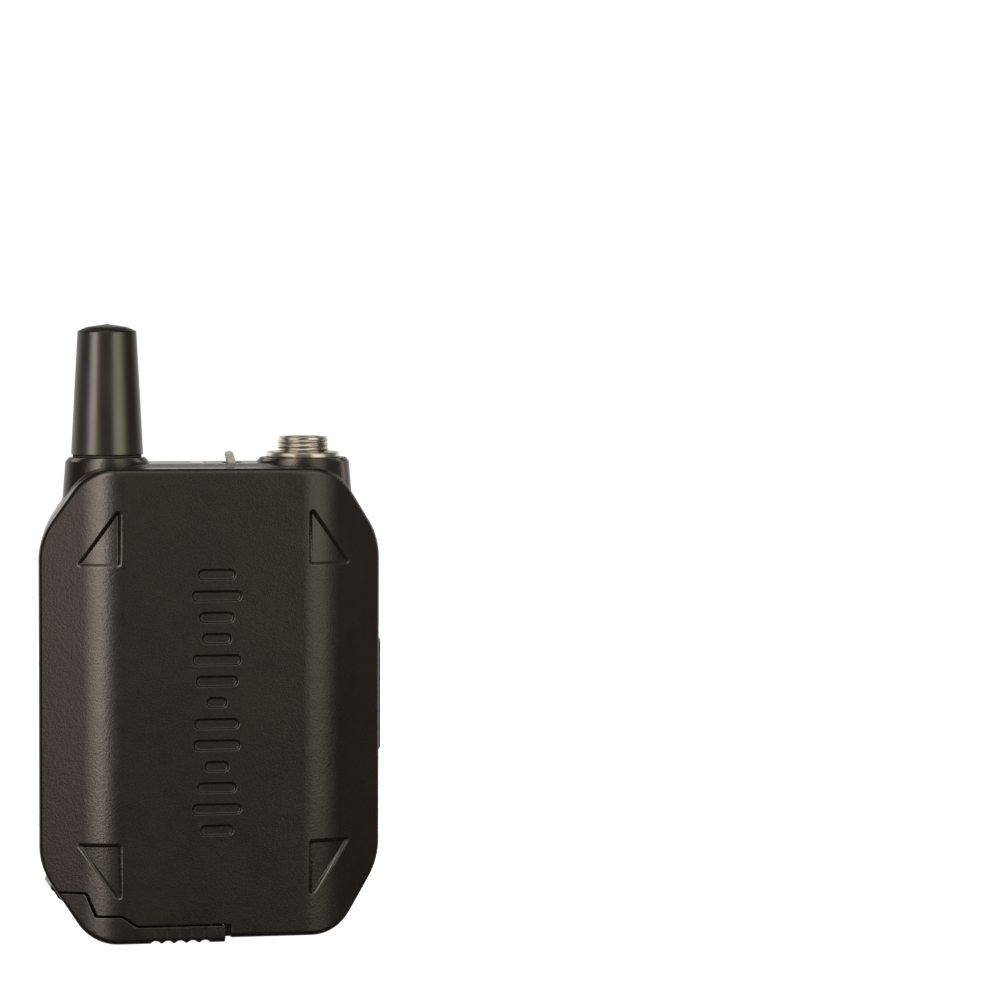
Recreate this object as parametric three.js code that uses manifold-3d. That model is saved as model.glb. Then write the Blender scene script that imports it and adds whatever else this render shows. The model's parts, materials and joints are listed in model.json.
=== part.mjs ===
// Body-pack transmitter for an electric guitar, as an assembly of separate pieces.
// Millimetres, +Z up along the antenna. The front cover faces -Y and +X is to the right.

import * as THREE from "three";
import { mergeVertices } from "three/addons/utils/BufferGeometryUtils.js";
import Module from "manifold-3d";

const wasm = await Module();
wasm.setup();

// ---- driving dimensions -------------------------------------------------

const GAP = 0.3; // running clearance between neighbouring pieces
const WALL = 1.6; // moulded wall of the shells
const ROUND = 32; // sides of a large round piece
const SMALL_ROUND = 16; // sides of a small round piece

// The eight-sided case, seen from the front.
const HALF_WIDTH = 32.2;
const CASE_BOTTOM = 1.1;
const COVER_TOP = 89.3;
const REAR_TOP = 89.8;
const SHOULDER_X = 23.4; // where the corner chamfers meet the top and bottom edges
const SHOULDER_Z = 13.4; // height of each corner chamfer
const SIDE_CORNER_R = 13;
const END_CORNER_R = 8.8;

// The case in depth, from the front plateau to the flat back.
const FRONT_Y = -11.5;
const RIM_Y = -4.5; // back edge of the front cover
const SEAM_Y = -3.9; // front edge of the rear housing
const BACK_Y = 11.5;
const PLATEAU_X = 20.8; // half width at which the side facets start
const SIDE_TAPER = 2.0; // how far the rear housing draws in at its sides
const END_TAPER = 0.5; // the same at its top and bottom

// Sunk triangles in the cover's corners.
const POCKET_DEPTH = 0.8;
const POCKET_INNER_X = 17.6;
const POCKET_OUTER_X = 26.2;
const POCKET_BASE = 18.3; // from the nearer end of the case
const POCKET_TIP = 6.6;

// Row of sunk bars down the middle of the cover.
const BAR_COUNT = 13;
const BAR_PITCH = 4.0;
const BAR_WIDTH = 1.9;
const BAR_DEPTH = 0.4;
const BAR_CENTRE = new THREE.Vector2(0.4, 45.5);

// The two round bosses on top.
const BOSS_Y = 3.4;
const ANTENNA_X = -18.5;
const JACK_X = 18.9;
const ANTENNA_BOSS = { top: 90.95, topR: 7.2, rim: 90.15, rimR: 7.88, foot: 79, footR: 8.8 };
const JACK_BOSS = { top: 90.8, topR: 8.2, rim: 90.1, rimR: 8.8, foot: 79, footR: 9.75 };

const ANTENNA_BASE_Z = 91.45;
const ANTENNA_BASE_R = 6.8;
const ANTENNA_RIM_Z = 114.8;
const ANTENNA_RIM_R = 5.55;
const ANTENNA_TOP_Z = 116.1;

const BARREL_R = 4.9;
const BARREL_BORE_R = 4.0;
const BARREL_TOP = 94.7;
const THREAD_PITCH = 0.7;
const JACK_PIN_RING_R = 1.9;

// Controls.
const SWITCH_X = 5.35;
const SWITCH_PIVOT_Z = 88.6;
const SWITCH_LEAN = THREE.MathUtils.degToRad(13);
const SWITCH_TIP = 3.4; // pivot to tip
const LENS_X = -1.35;
const BUTTON_Y = 1.0;
const BUTTON_Z = [71.2, 79.3];
const BUTTON_FACE_X = 31.95;

// Raised panel and charging socket on the right side.
const PANEL_Y = [-2.4, 8.4];
const PANEL_Z = [35.05, 56.45];
const PANEL_X = 33.0;
const PORT_Z = 45.75;
const PORT_Y = 3.1;

// Battery door at the lower left corner.
const DOOR_BOTTOM = 0.3;
const DOOR_END_X = 2.0;
const DOOR_NOTCH_X = 3.1; // right wall of the notch beside the door
const DOOR_LIP_Z = 3.5;
const DOOR_PIVOT = new THREE.Vector2(-29.15, 10.4); // X and Z
const KNUCKLE_R = 0.85;
const KNUCKLE_Y = [-2.4, 6.4];
const EARS_Y = [[-3.8, -2.7], [6.7, 8.2]];
const PIN_BORE_R = 0.55;
const RIB_COUNT = 6;
const RIB_PITCH = 2.33;

// Battery bay.
const BATTERY = { x: [-22.2, 0.2], y: [-6.5, 6.9], z: [7.2, 60.5] };
const TRAY_WALL = 0.9;

// Main circuit board.
const BOARD_Y = [0.2, 1.5];
const BOARD = { left: 4.2, right: 24.3, bottom: 12, top: 77, wing: 70.5, wingLeft: -24.5 };

// Case screws, and the belt clip on the back.
const SCREW_X = 27.1;
const SCREW_Z = [24, 66];
const POST_R = 2.3;
const SCREW_HOLE_R = 1.3;
const CLIP_PIVOT = new THREE.Vector2(15.1, 72.5); // Y and Z
const CLIP_HALF_WIDTH = 12;
const CLIP_THICKNESS = 1.1;
const CLIP_BACK = 17.7;

// ---- solids ---------------------------------------------------------------

function solid(geometry) {
  const bare = geometry.clone();
  bare.deleteAttribute("normal");
  bare.deleteAttribute("uv");
  const merged = mergeVertices(bare, 1e-4);
  const mesh = new wasm.Mesh({
    numProp: 3,
    vertProperties: merged.attributes.position.array,
    triVerts: new Uint32Array(merged.index.array),
  });
  return new wasm.Manifold(mesh);
}

function geometryOf(body) {
  const mesh = body.getMesh();
  const geometry = new THREE.BufferGeometry();
  const positions = new Float32Array(mesh.vertProperties);
  geometry.setAttribute("position", new THREE.BufferAttribute(positions, 3));
  geometry.setIndex(new THREE.BufferAttribute(new Uint32Array(mesh.triVerts), 1));
  const faceted = geometry.toNonIndexed();
  faceted.computeVertexNormals();
  return faceted;
}

function joined(...bodies) {
  return bodies.reduce((sum, body) => sum.add(body));
}

function cut(body, ...tools) {
  return tools.reduce((rest, tool) => rest.subtract(tool), body);
}

function box([x0, x1], [y0, y1], [z0, z1]) {
  const geometry = new THREE.BoxGeometry(x1 - x0, y1 - y0, z1 - z0);
  geometry.translate((x0 + x1) / 2, (y0 + y1) / 2, (z0 + z1) / 2);
  return solid(geometry);
}

// A shape in X and Z, extruded from y0 to y1.
function prismY(shape, [y0, y1], curveSegments = 2) {
  const geometry = new THREE.ExtrudeGeometry(shape, {
    depth: y1 - y0,
    bevelEnabled: false,
    curveSegments,
  });
  geometry.rotateX(Math.PI / 2);
  geometry.translate(0, y1, 0);
  return solid(geometry);
}

// A shape in X and Y, extruded from z0 to z1.
function prismZ(shape, [z0, z1], curveSegments = 2) {
  const geometry = new THREE.ExtrudeGeometry(shape, {
    depth: z1 - z0,
    bevelEnabled: false,
    curveSegments,
  });
  geometry.translate(0, 0, z0);
  return solid(geometry);
}

// A shape in Y and Z, extruded from x0 to x1.
function prismX(shape, [x0, x1], curveSegments = 2) {
  const geometry = new THREE.ExtrudeGeometry(shape, {
    depth: x1 - x0,
    bevelEnabled: false,
    curveSegments,
  });
  geometry.rotateX(Math.PI / 2);
  geometry.rotateZ(Math.PI / 2);
  geometry.translate(x0, 0, 0);
  return solid(geometry);
}

function cylinderX(r, [y, z], [x0, x1], sides = SMALL_ROUND) {
  const geometry = new THREE.CylinderGeometry(r, r, x1 - x0, sides);
  geometry.rotateZ(Math.PI / 2);
  geometry.translate((x0 + x1) / 2, y, z);
  return solid(geometry);
}

function cylinderY(r, [x, z], [y0, y1], sides = SMALL_ROUND) {
  const geometry = new THREE.CylinderGeometry(r, r, y1 - y0, sides);
  geometry.translate(x, (y0 + y1) / 2, z);
  return solid(geometry);
}

function cylinderZ(r, [x, y], [z0, z1], sides = SMALL_ROUND) {
  const geometry = new THREE.CylinderGeometry(r, r, z1 - z0, sides);
  geometry.rotateX(Math.PI / 2);
  geometry.translate(x, y, (z0 + z1) / 2);
  return solid(geometry);
}

// A profile of [radius, z] pairs turned about a vertical axis.
function turned(profile, [x, y], sides = ROUND) {
  const points = profile.map(([r, z]) => new THREE.Vector2(r, z));
  const geometry = new THREE.LatheGeometry(points, sides);
  geometry.rotateX(Math.PI / 2);
  geometry.translate(x, y, 0);
  return solid(geometry);
}

// A polygon whose corners are rounded, each with its own radius.
function roundedShape(corners, radii) {
  const shape = new THREE.Shape();
  const count = corners.length;
  corners.forEach((corner, i) => {
    const before = corners[(i + count - 1) % count].clone().sub(corner).normalize();
    const after = corners[(i + 1) % count].clone().sub(corner).normalize();
    const half = Math.acos(THREE.MathUtils.clamp(before.dot(after), -1, 1)) / 2;
    const radius = radii[i];
    if (radius === 0) {
      if (i === 0) shape.moveTo(corner.x, corner.y);
      else shape.lineTo(corner.x, corner.y);
      return;
    }
    const middle = before.clone().add(after).normalize();
    const centre = corner.clone().addScaledVector(middle, radius / Math.sin(half));
    const start = corner.clone().addScaledVector(before, radius / Math.tan(half)).sub(centre);
    const end = corner.clone().addScaledVector(after, radius / Math.tan(half)).sub(centre);
    const turnsLeft = before.cross(after) < 0;
    shape.absarc(centre.x, centre.y, radius, start.angle(), end.angle(), !turnsLeft);
  });
  return shape;
}

function rectangle([a0, a1], [b0, b1], radius = 0) {
  const corners = [[a0, b0], [a1, b0], [a1, b1], [a0, b1]].map((c) => new THREE.Vector2(...c));
  return roundedShape(corners, [radius, radius, radius, radius]);
}

function vectors(pairs) {
  return pairs.map(([a, b]) => new THREE.Vector2(a, b));
}

// ---- the eight-sided outline ------------------------------------------------

// The outline in X and Z, drawn in by `inset`, with its straight sides a further `draw` in.
function outline(top, bottom, inset, draw = 0) {
  const slope = new THREE.Vector2(SHOULDER_Z, HALF_WIDTH - SHOULDER_X).normalize();
  const reach = slope.x * HALF_WIDTH - inset - draw * 0.6;
  const halfWidth = HALF_WIDTH - inset - draw;
  const upper = top - inset;
  const lower = bottom + inset;
  const upperStart = COVER_TOP - SHOULDER_Z;
  const lowerStart = CASE_BOTTOM + SHOULDER_Z;
  const sideRise = (reach - slope.x * halfWidth) / slope.y;
  const endRun = (height) => (reach - slope.y * height) / slope.x;
  const corners = vectors([
    [endRun(lowerStart - lower), lower],
    [halfWidth, lowerStart - sideRise],
    [halfWidth, upperStart + sideRise],
    [endRun(upper - upperStart), upper],
    [-endRun(upper - upperStart), upper],
    [-halfWidth, upperStart + sideRise],
    [-halfWidth, lowerStart - sideRise],
    [-endRun(lowerStart - lower), lower],
  ]);
  const end = END_CORNER_R - inset;
  const side = SIDE_CORNER_R - inset;
  return roundedShape(corners, [end, side, side, end, end, side, side, end]);
}

// Skins the outlines of several depths into one closed body, front to back.
function loftY(sections, divisions = 2) {
  const rings = sections.map(({ shape }) => shape.getPoints(divisions));
  const count = rings[0].length;
  const positions = [];
  rings.forEach((ring, s) => ring.forEach((p) => positions.push(p.x, sections[s].y, p.y)));
  const index = [];
  for (let s = 0; s + 1 < rings.length; s += 1) {
    for (let i = 0; i < count; i += 1) {
      const a = s * count + i;
      const b = s * count + ((i + 1) % count);
      index.push(a, a + count, b, b, a + count, b + count);
    }
  }
  const last = (rings.length - 1) * count;
  for (const [a, b, c] of THREE.ShapeUtils.triangulateShape(rings[0], [])) {
    index.push(a, b, c, last + a, last + c, last + b);
  }
  const geometry = new THREE.BufferGeometry();
  geometry.setAttribute("position", new THREE.Float32BufferAttribute(positions, 3));
  geometry.setIndex(index);
  return solid(geometry);
}

// The cover's cross-section in X and Y: a flat plateau, a soft fold and a facet to each rim.
function coverSection(inset) {
  const front = FRONT_Y + inset;
  const rim = HALF_WIDTH - inset;
  const facetTurn = Math.atan2(RIM_Y - 1 - FRONT_Y, HALF_WIDTH - PLATEAU_X);
  const foldX = PLATEAU_X - inset * Math.tan(facetTurn / 2);
  const rimY = front + (rim - foldX) * Math.tan(facetTurn);
  const back = SEAM_Y + 4;
  const corners = vectors([
    [-foldX, front],
    [foldX, front],
    [rim, rimY],
    [rim, back],
    [-rim, back],
    [-rim, rimY],
  ]);
  return roundedShape(corners, [12, 12, 0.9, 0, 0, 0.9]);
}

// The cover's full outer form, filled, down to a given bottom edge.
function coverForm(inset, bottom, back) {
  const softening = 1.2 - inset * 0.5;
  const body = loftY([
    { y: FRONT_Y + inset, shape: outline(COVER_TOP, bottom, inset + softening) },
    { y: FRONT_Y + inset + softening * 0.3, shape: outline(COVER_TOP, bottom, inset + softening * 0.3) },
    { y: FRONT_Y + inset + softening, shape: outline(COVER_TOP, bottom, inset) },
    { y: back, shape: outline(COVER_TOP, bottom, inset) },
  ]);
  return body.intersect(prismZ(coverSection(inset), [-2, 92]));
}

// The rear housing's full outer form, filled, with a softened back edge.
function rearForm(inset, bottom, front) {
  const top = REAR_TOP;
  const back = BACK_Y - inset;
  const edge = 1.3 - inset * 0.5;
  const section = (y, extra) => {
    const share = (y - SEAM_Y) / (BACK_Y - SEAM_Y);
    const lift = END_TAPER * share;
    return { y, shape: outline(top, bottom + lift, inset + extra, SIDE_TAPER * share) };
  };
  return loftY([
    section(front, 0),
    section(back - edge, 0),
    section(back - edge * 0.3, edge * 0.3),
    section(back, edge),
  ]);
}

// The notched region of the battery door in X and Z, grown by `margin`, ending at `endX`.
function doorRegion(margin, endX) {
  const corners = vectors([
    [-40, -6],
    [endX, -6],
    [endX, DOOR_LIP_Z + margin],
    [-14.6 + margin * 0.4, DOOR_LIP_Z + margin],
    [-17.5 + margin * 0.4, 5.5 + margin],
    [-22.3 + margin, 5.5 + margin],
    [-24.15 + margin, 9.8 + margin],
    [-40, 9.8 + margin],
  ]);
  return roundedShape(corners, [0, 0, 0.4, 1.2, 0.8, 0.4, 0.6, 0]);
}

// The space that the shells leave free for the battery door.
function doorOpening() {
  return prismY(doorRegion(GAP, DOOR_NOTCH_X), [FRONT_Y - 1, BACK_Y + 1]);
}

// ---- shells -----------------------------------------------------------------

function cornerPocket(side, end) {
  const near = end > 0 ? COVER_TOP - POCKET_BASE : CASE_BOTTOM + POCKET_BASE;
  const tip = end > 0 ? COVER_TOP - POCKET_TIP : CASE_BOTTOM + POCKET_TIP;
  const corners = vectors([
    [side * POCKET_INNER_X, near],
    [side * POCKET_OUTER_X, near],
    [side * POCKET_INNER_X, tip],
  ]);
  if (side * end < 0) corners.reverse();
  const radii = side * end < 0 ? [0.9, 0.5, 0.6] : [0.6, 0.5, 0.9];
  const well = prismY(roundedShape(corners, radii), [FRONT_Y - 1, RIM_Y]);
  const floor = prismZ(coverSection(0), [-2, 92]).translate([0, POCKET_DEPTH, 0]);
  return well.subtract(floor);
}

// One sunk bar; the lengths rise and fall along the row like a sound level.
function coverBar(i) {
  const z = BAR_CENTRE.y + (i - (BAR_COUNT - 1) / 2) * BAR_PITCH;
  const half = 1.6 + 3.0 * Math.abs(Math.sin(0.95 * i + 0.5));
  const x = BAR_CENTRE.x;
  const shape = rectangle([x - half, x + half], [z - BAR_WIDTH / 2, z + BAR_WIDTH / 2], 0.9);
  return prismY(shape, [FRONT_Y - 1, FRONT_Y + BAR_DEPTH]);
}

function screwPlaces() {
  return [-1, 1].flatMap((side) => SCREW_Z.map((z) => [side * SCREW_X, z]));
}

function frontCover() {
  let cover = cut(coverForm(0, CASE_BOTTOM, RIM_Y), coverForm(WALL, CASE_BOTTOM, RIM_Y + 1));
  for (const side of [-1, 1]) {
    for (const end of [-1, 1]) cover = cover.subtract(cornerPocket(side, end));
  }
  for (let i = 0; i < BAR_COUNT; i += 1) cover = cover.subtract(coverBar(i));
  for (const place of screwPlaces()) {
    const post = cylinderY(POST_R, place, [FRONT_Y, RIM_Y]);
    const bore = cylinderY(SCREW_HOLE_R, place, [RIM_Y - 2.2, RIM_Y + 1]);
    cover = cover.add(post.intersect(coverForm(WALL / 2, CASE_BOTTOM, RIM_Y))).subtract(bore);
  }
  return cut(cover, doorOpening());
}

function bossForm({ top, topR, rim, rimR, foot, footR }, x, inset = 0) {
  const body = turned(
    [
      [0, foot],
      [footR - inset, foot],
      [rimR - inset, rim - inset],
      [topR - inset, top - inset],
      [0, top - inset],
    ],
    [x, BOSS_Y],
  );
  return body.intersect(box([-40, 40], [SEAM_Y + inset, BACK_Y - 0.4 - inset], [foot, top]));
}

// The housing's two hinge ears and the room for the door's knuckle between them.
function hingeEars() {
  return joined(...EARS_Y.map((span) => cylinderY(KNUCKLE_R, DOOR_PIVOT.toArray(), span)));
}

function knuckleRoom() {
  const [front, back] = KNUCKLE_Y;
  return cylinderY(KNUCKLE_R + GAP, DOOR_PIVOT.toArray(), [front - GAP, back + GAP]);
}

function rearHousing() {
  const outer = joined(
    rearForm(0, CASE_BOTTOM, SEAM_Y),
    bossForm(ANTENNA_BOSS, ANTENNA_X),
    bossForm(JACK_BOSS, JACK_X),
  );
  const hollow = joined(
    rearForm(WALL, CASE_BOTTOM, SEAM_Y - 1),
    bossForm(ANTENNA_BOSS, ANTENNA_X, WALL),
    bossForm(JACK_BOSS, JACK_X, WALL),
  );
  let housing = outer.subtract(hollow);
  for (const place of screwPlaces()) {
    const post = cylinderY(POST_R, place, [SEAM_Y, BACK_Y]);
    housing = housing.add(post.intersect(rearForm(WALL / 2, CASE_BOTTOM, SEAM_Y)));
  }
  for (const place of screwPlaces()) {
    housing = housing.subtract(cylinderY(SCREW_HOLE_R, place, [SEAM_Y - 1, BACK_Y + 1]));
    housing = housing.subtract(cylinderY(2.05, place, [BACK_Y - 2, BACK_Y + 1]));
  }
  for (const [x, z] of clipScrewPlaces()) {
    housing = housing.subtract(cylinderY(SCREW_HOLE_R, [x, z], [BACK_Y - 3, BACK_Y + 1]));
  }
  housing = cut(
    housing,
    cylinderZ(2.2, [ANTENNA_X, BOSS_Y], [85, 92]),
    cylinderZ(BARREL_R + GAP, [JACK_X, BOSS_Y], [85, 92], ROUND),
    prismZ(rectangle([SWITCH_X - 1.75, SWITCH_X + 1.75], [BOSS_Y - 2, BOSS_Y + 2], 0.5), [86, 91]),
    prismZ(lensShape(GAP), [86, 91]),
    prismX(buttonShape(GAP), [27, 34]),
    box([26, 34], [PORT_Y - 1.75, PORT_Y + 1.75], [PORT_Z - 4.2, PORT_Z + 4.2]),
    labelRecess(),
    doorOpening(),
    knuckleRoom(),
  );
  const pinBore = cylinderY(PIN_BORE_R, DOOR_PIVOT.toArray(), [-5, 7.9], 8);
  return housing.add(hingeEars()).subtract(pinBore);
}

function labelRecess() {
  return prismY(rectangle([-12, 12], [8.5, 20.5], 1.2), [BACK_Y - 0.5, BACK_Y + 1]);
}

function labelPlate() {
  return prismY(rectangle([-11.6, 11.6], [8.9, 20.1], 1), [BACK_Y - 0.4, BACK_Y - 0.05]);
}

// A flat cord lying in the seam between the two shells.
function seamGasket() {
  const ring = (inset) => outline(COVER_TOP, CASE_BOTTOM, inset);
  const band = cut(
    loftY([
      { y: RIM_Y + 0.1, shape: ring(0.5) },
      { y: SEAM_Y - 0.1, shape: ring(0.5) },
    ]),
    loftY([
      { y: RIM_Y - 1, shape: ring(1.35) },
      { y: SEAM_Y + 1, shape: ring(1.35) },
    ]),
  );
  return cut(band, doorOpening());
}

// ---- battery door -------------------------------------------------------------

function gripRibs() {
  const first = DOOR_END_X - 0.25 - RIB_PITCH / 2;
  const grooves = [];
  for (let i = 0; i < RIB_COUNT; i += 1) {
    const x = first - i * RIB_PITCH;
    grooves.push(cylinderY(1.2, [x, DOOR_BOTTOM - 0.75], [FRONT_Y - 1, BACK_Y + 1]));
    grooves.push(cylinderZ(1.2, [x, FRONT_Y - 0.95], [DOOR_BOTTOM - 1, DOOR_LIP_Z - 0.5]));
  }
  return joined(...grooves);
}

function batteryDoor() {
  const outer = joined(
    coverForm(0, DOOR_BOTTOM, SEAM_Y + 0.5),
    rearForm(0, DOOR_BOTTOM, SEAM_Y),
  );
  const inner = joined(
    coverForm(WALL, DOOR_BOTTOM, SEAM_Y + 0.5),
    rearForm(WALL, DOOR_BOTTOM, SEAM_Y - 0.5),
  );
  const shell = outer.subtract(inner).intersect(prismY(doorRegion(0, DOOR_END_X), [-20, 20]));
  const endWall = outer.intersect(box([DOOR_END_X - 1.4, DOOR_END_X], [-20, 20], [0, DOOR_LIP_Z]));
  const springPeg = box([-10.4, -9.6], [-1.5, 1.5], [1.6, 3.2]);
  const boltWindow = box([0, 3], [-1.8, 1.8], [1.95, 4]);
  const earRoom = EARS_Y.map(([y0, y1]) =>
    cylinderY(KNUCKLE_R + GAP, DOOR_PIVOT.toArray(), [y0 - GAP, y1 + GAP]),
  );
  const pinBore = cylinderY(PIN_BORE_R, DOOR_PIVOT.toArray(), [-20, 20], 8);
  const tray = cut(joined(shell, endWall, springPeg), boltWindow, gripRibs(), ...earRoom);
  return joined(tray, hingeLeaf()).subtract(pinBore);
}

// The door's knuckle, with the leaf that carries it.
function hingeLeaf() {
  const { x, y: z } = DOOR_PIVOT;
  const corners = vectors([
    [x - 0.7, z],
    [x + 0.6, z - 2.2],
    [x + 1.9, z - 3.2],
    [x + 2.6, z - 2.6],
    [x + 0.85, z - 0.6],
    [x + 0.85, z],
  ]);
  return joined(
    cylinderY(KNUCKLE_R, [x, z], KNUCKLE_Y),
    prismY(new THREE.Shape(corners), KNUCKLE_Y),
  );
}

function hingePin() {
  return cylinderY(0.3, DOOR_PIVOT.toArray(), [-3.5, 7.6], 8);
}

// The sprung bolt at the door's free end; it reaches into the notch beside the door.
function doorBolt() {
  return joined(
    box([-5, 2.75], [-1.5, 1.5], [2.25, 3.15]),
    box([-5, -3.8], [-2.4, 2.4], [2.25, 3.15]),
  );
}

function coilPack(r, pitch, coils) {
  const profile = [[0, 0]];
  for (let i = 0; i < coils; i += 1) {
    profile.push([r, i * pitch], [r, (i + 0.6) * pitch], [r * 0.75, (i + 0.8) * pitch]);
  }
  profile.push([0, (coils - 0.2) * pitch]);
  return turned(profile, [0, 0], 10);
}

function boltSpring() {
  return coilPack(0.45, 0.6, 5).rotate([0, 90, 0]).translate([-9.2, 0, 2.7]);
}

function batteryPad() {
  return prismZ(rectangle([-19, -11.5], [-5, 5], 1), [2.3, 6]);
}

// ---- battery bay ----------------------------------------------------------------

function grown([low, high], by) {
  return [low - by, high + by];
}

function battery() {
  const { x, y, z } = BATTERY;
  const cell = prismZ(rectangle(x, y, 2), z);
  const labelGroove = box([x[0] - 1, x[1] + 1], [y[1] - 0.25, y[1] + 1], [z[0] + 8, z[1] - 12]);
  return cell.subtract(labelGroove);
}

function batteryTray() {
  const { x, y, z } = BATTERY;
  const outer = box(grown(x, TRAY_WALL + GAP), grown(y, TRAY_WALL + GAP), [z[0] - 0.8, z[1] + 3.5]);
  const bay = box(grown(x, GAP), grown(y, GAP), [z[0] - 2, z[1] + 2.1]);
  const window = box([x[0] + 4, x[1] - 4], [y[0] - 5, y[0] + 0.5], [z[0] + 8, z[1] - 8]);
  return cut(outer, bay, window);
}

function batteryContact(x) {
  const top = BATTERY.z[1];
  const leaf = box([x - 1.2, x + 1.2], [-3, 3], [top + 1.4, top + 1.8]);
  const dimple = turned([[0, top + 0.3], [0.9, top + 0.8], [1, top + 1.5], [0, top + 1.5]], [x, 0], 12);
  return joined(leaf, dimple);
}

function contactBlock() {
  const top = BATTERY.z[1];
  return box([-17, -4], [-4, 4], [top + 3.8, top + 7.2]);
}

// ---- circuit board ----------------------------------------------------------------

function mainBoard() {
  const { left, right, bottom, top, wing, wingLeft } = BOARD;
  const corners = vectors([
    [left, bottom],
    [right, bottom],
    [right, PORT_Z - 6],
    [right + 4.8, PORT_Z - 6],
    [right + 4.8, PORT_Z + 6],
    [right, PORT_Z + 6],
    [right, top],
    [wingLeft, top],
    [wingLeft, wing],
    [left, wing],
  ]);
  return prismY(new THREE.Shape(corners), BOARD_Y);
}

function boardPart([x0, x1], [z0, z1], height, side) {
  const face = side > 0 ? BOARD_Y[1] + 0.15 : BOARD_Y[0] - 0.15;
  const span = side > 0 ? [face, face + height] : [face - height, face];
  return box([x0, x1], span, [z0, z1]);
}

function choke() {
  return cylinderY(3, [12, 30], [BOARD_Y[0] - 3.4, BOARD_Y[0] - 0.15]);
}

// ---- charging socket and its panel ---------------------------------------------------

function usbShell() {
  const outer = box([25.2, 31], [PORT_Y - 1.4, PORT_Y + 1.4], [PORT_Z - 3.8, PORT_Z + 3.8]);
  const mouth = box([25.7, 32], [PORT_Y - 1, PORT_Y + 1], [PORT_Z - 3.4, PORT_Z + 3.4]);
  return outer.subtract(mouth);
}

function usbTongue() {
  return box([26, 30.4], [PORT_Y - 0.1, PORT_Y + 0.6], [PORT_Z - 2.6, PORT_Z + 2.6]);
}

function flapSpans() {
  return { y: [-0.2, 6.8], z: [39, 52.4], x: [31.9, 32.8] };
}

function sidePanel() {
  const [y0, y1] = PANEL_Y;
  const sideX = (y) => HALF_WIDTH - SIDE_TAPER * ((y - SEAM_Y) / (BACK_Y - SEAM_Y)) + 0.1;
  const plan = vectors([
    [sideX(y0), y0],
    [PANEL_X, y0],
    [PANEL_X - 0.1, y1 - 0.8],
    [PANEL_X - 0.7, y1],
    [sideX(y1), y1],
  ]);
  const { y, z } = flapSpans();
  const block = prismZ(new THREE.Shape(plan), PANEL_Z);
  const face = prismX(rectangle(PANEL_Y, PANEL_Z, 1), [28, 36]);
  const window = box([28, 36], grown(y, GAP), [z[0] - 0.5, z[1] + GAP + 0.2]);
  return block.intersect(face).subtract(window);
}

function flapPivot() {
  const { x, z } = flapSpans();
  return [(x[0] + x[1]) / 2, z[0] + (x[1] - x[0]) / 2];
}

function usbFlap() {
  const { x, y, z } = flapSpans();
  const [pivotX, pivotZ] = flapPivot();
  const leaf = box(x, y, [pivotZ, z[1]]);
  const rolledEdge = cylinderY((x[1] - x[0]) / 2, [pivotX, pivotZ], y, 12);
  const nailGroove = box([x[1] - 0.3, x[1] + 1], [y[0] + 1.5, y[1] - 1.5], [z[1] - 1.4, z[1] - 0.7]);
  return joined(leaf, rolledEdge).subtract(nailGroove);
}

// ---- antenna --------------------------------------------------------------------------

function antennaSleeve() {
  const rimX = ANTENNA_RIM_R;
  return turned(
    [
      [0, 110],
      [3, 110],
      [4.2, ANTENNA_BASE_Z],
      [ANTENNA_BASE_R - 0.2, ANTENNA_BASE_Z],
      [ANTENNA_BASE_R, ANTENNA_BASE_Z + 0.3],
      [rimX, ANTENNA_RIM_Z - 0.3],
      [rimX - 0.3, ANTENNA_RIM_Z + 0.1],
      [rimX - 1.5, ANTENNA_RIM_Z + 0.75],
      [rimX - 3.2, ANTENNA_TOP_Z - 0.12],
      [0, ANTENNA_TOP_Z],
    ],
    [ANTENNA_X, BOSS_Y],
  );
}

function antennaSeal() {
  const [low, high] = [ANTENNA_BOSS.top + 0.03, ANTENNA_BASE_Z - 0.03];
  return turned(
    [[5, low], [6.45, low], [6.55, (low + high) / 2], [6.45, high], [5, high], [5, low]],
    [ANTENNA_X, BOSS_Y],
  );
}

function antennaCoil() {
  return coilPack(2.6, 2.2, 7).translate([ANTENNA_X, BOSS_Y, 93.2]);
}

function antennaPin() {
  return joined(
    cylinderZ(1.1, [ANTENNA_X, BOSS_Y], [77.4, 92.8], 12),
    cylinderZ(1.7, [ANTENNA_X, BOSS_Y], [82, 84], 12),
  );
}

// ---- signal inlet -----------------------------------------------------------------------

function jackBarrel() {
  const crest = BARREL_R;
  const root = BARREL_R - 0.35;
  const profile = [[BARREL_BORE_R, 81.5], [crest - 0.2, 81.5], [crest - 0.2, 92.1]];
  const turns = Math.floor((BARREL_TOP - 0.4 - 92.1) / THREAD_PITCH);
  for (let i = 0; i < turns; i += 1) {
    const z = 92.1 + i * THREAD_PITCH;
    profile.push([crest, z + THREAD_PITCH * 0.4], [crest, z + THREAD_PITCH * 0.6]);
    profile.push([root, z + THREAD_PITCH]);
  }
  profile.push([root, BARREL_TOP - 0.1], [root - 0.2, BARREL_TOP]);
  profile.push([BARREL_BORE_R + 0.2, BARREL_TOP], [BARREL_BORE_R, BARREL_TOP - 0.2]);
  profile.push([BARREL_BORE_R, 81.5]);
  return turned(profile, [JACK_X, BOSS_Y], 24);
}

function flangeNut() {
  const inner = BARREL_R + GAP;
  const [low, high] = [JACK_BOSS.top + 0.05, 91.85];
  return turned(
    [[inner, low], [6.9, low], [7, low + 0.2], [7, high - 0.3], [6.6, high], [inner, high], [inner, low]],
    [JACK_X, BOSS_Y],
  );
}

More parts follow.
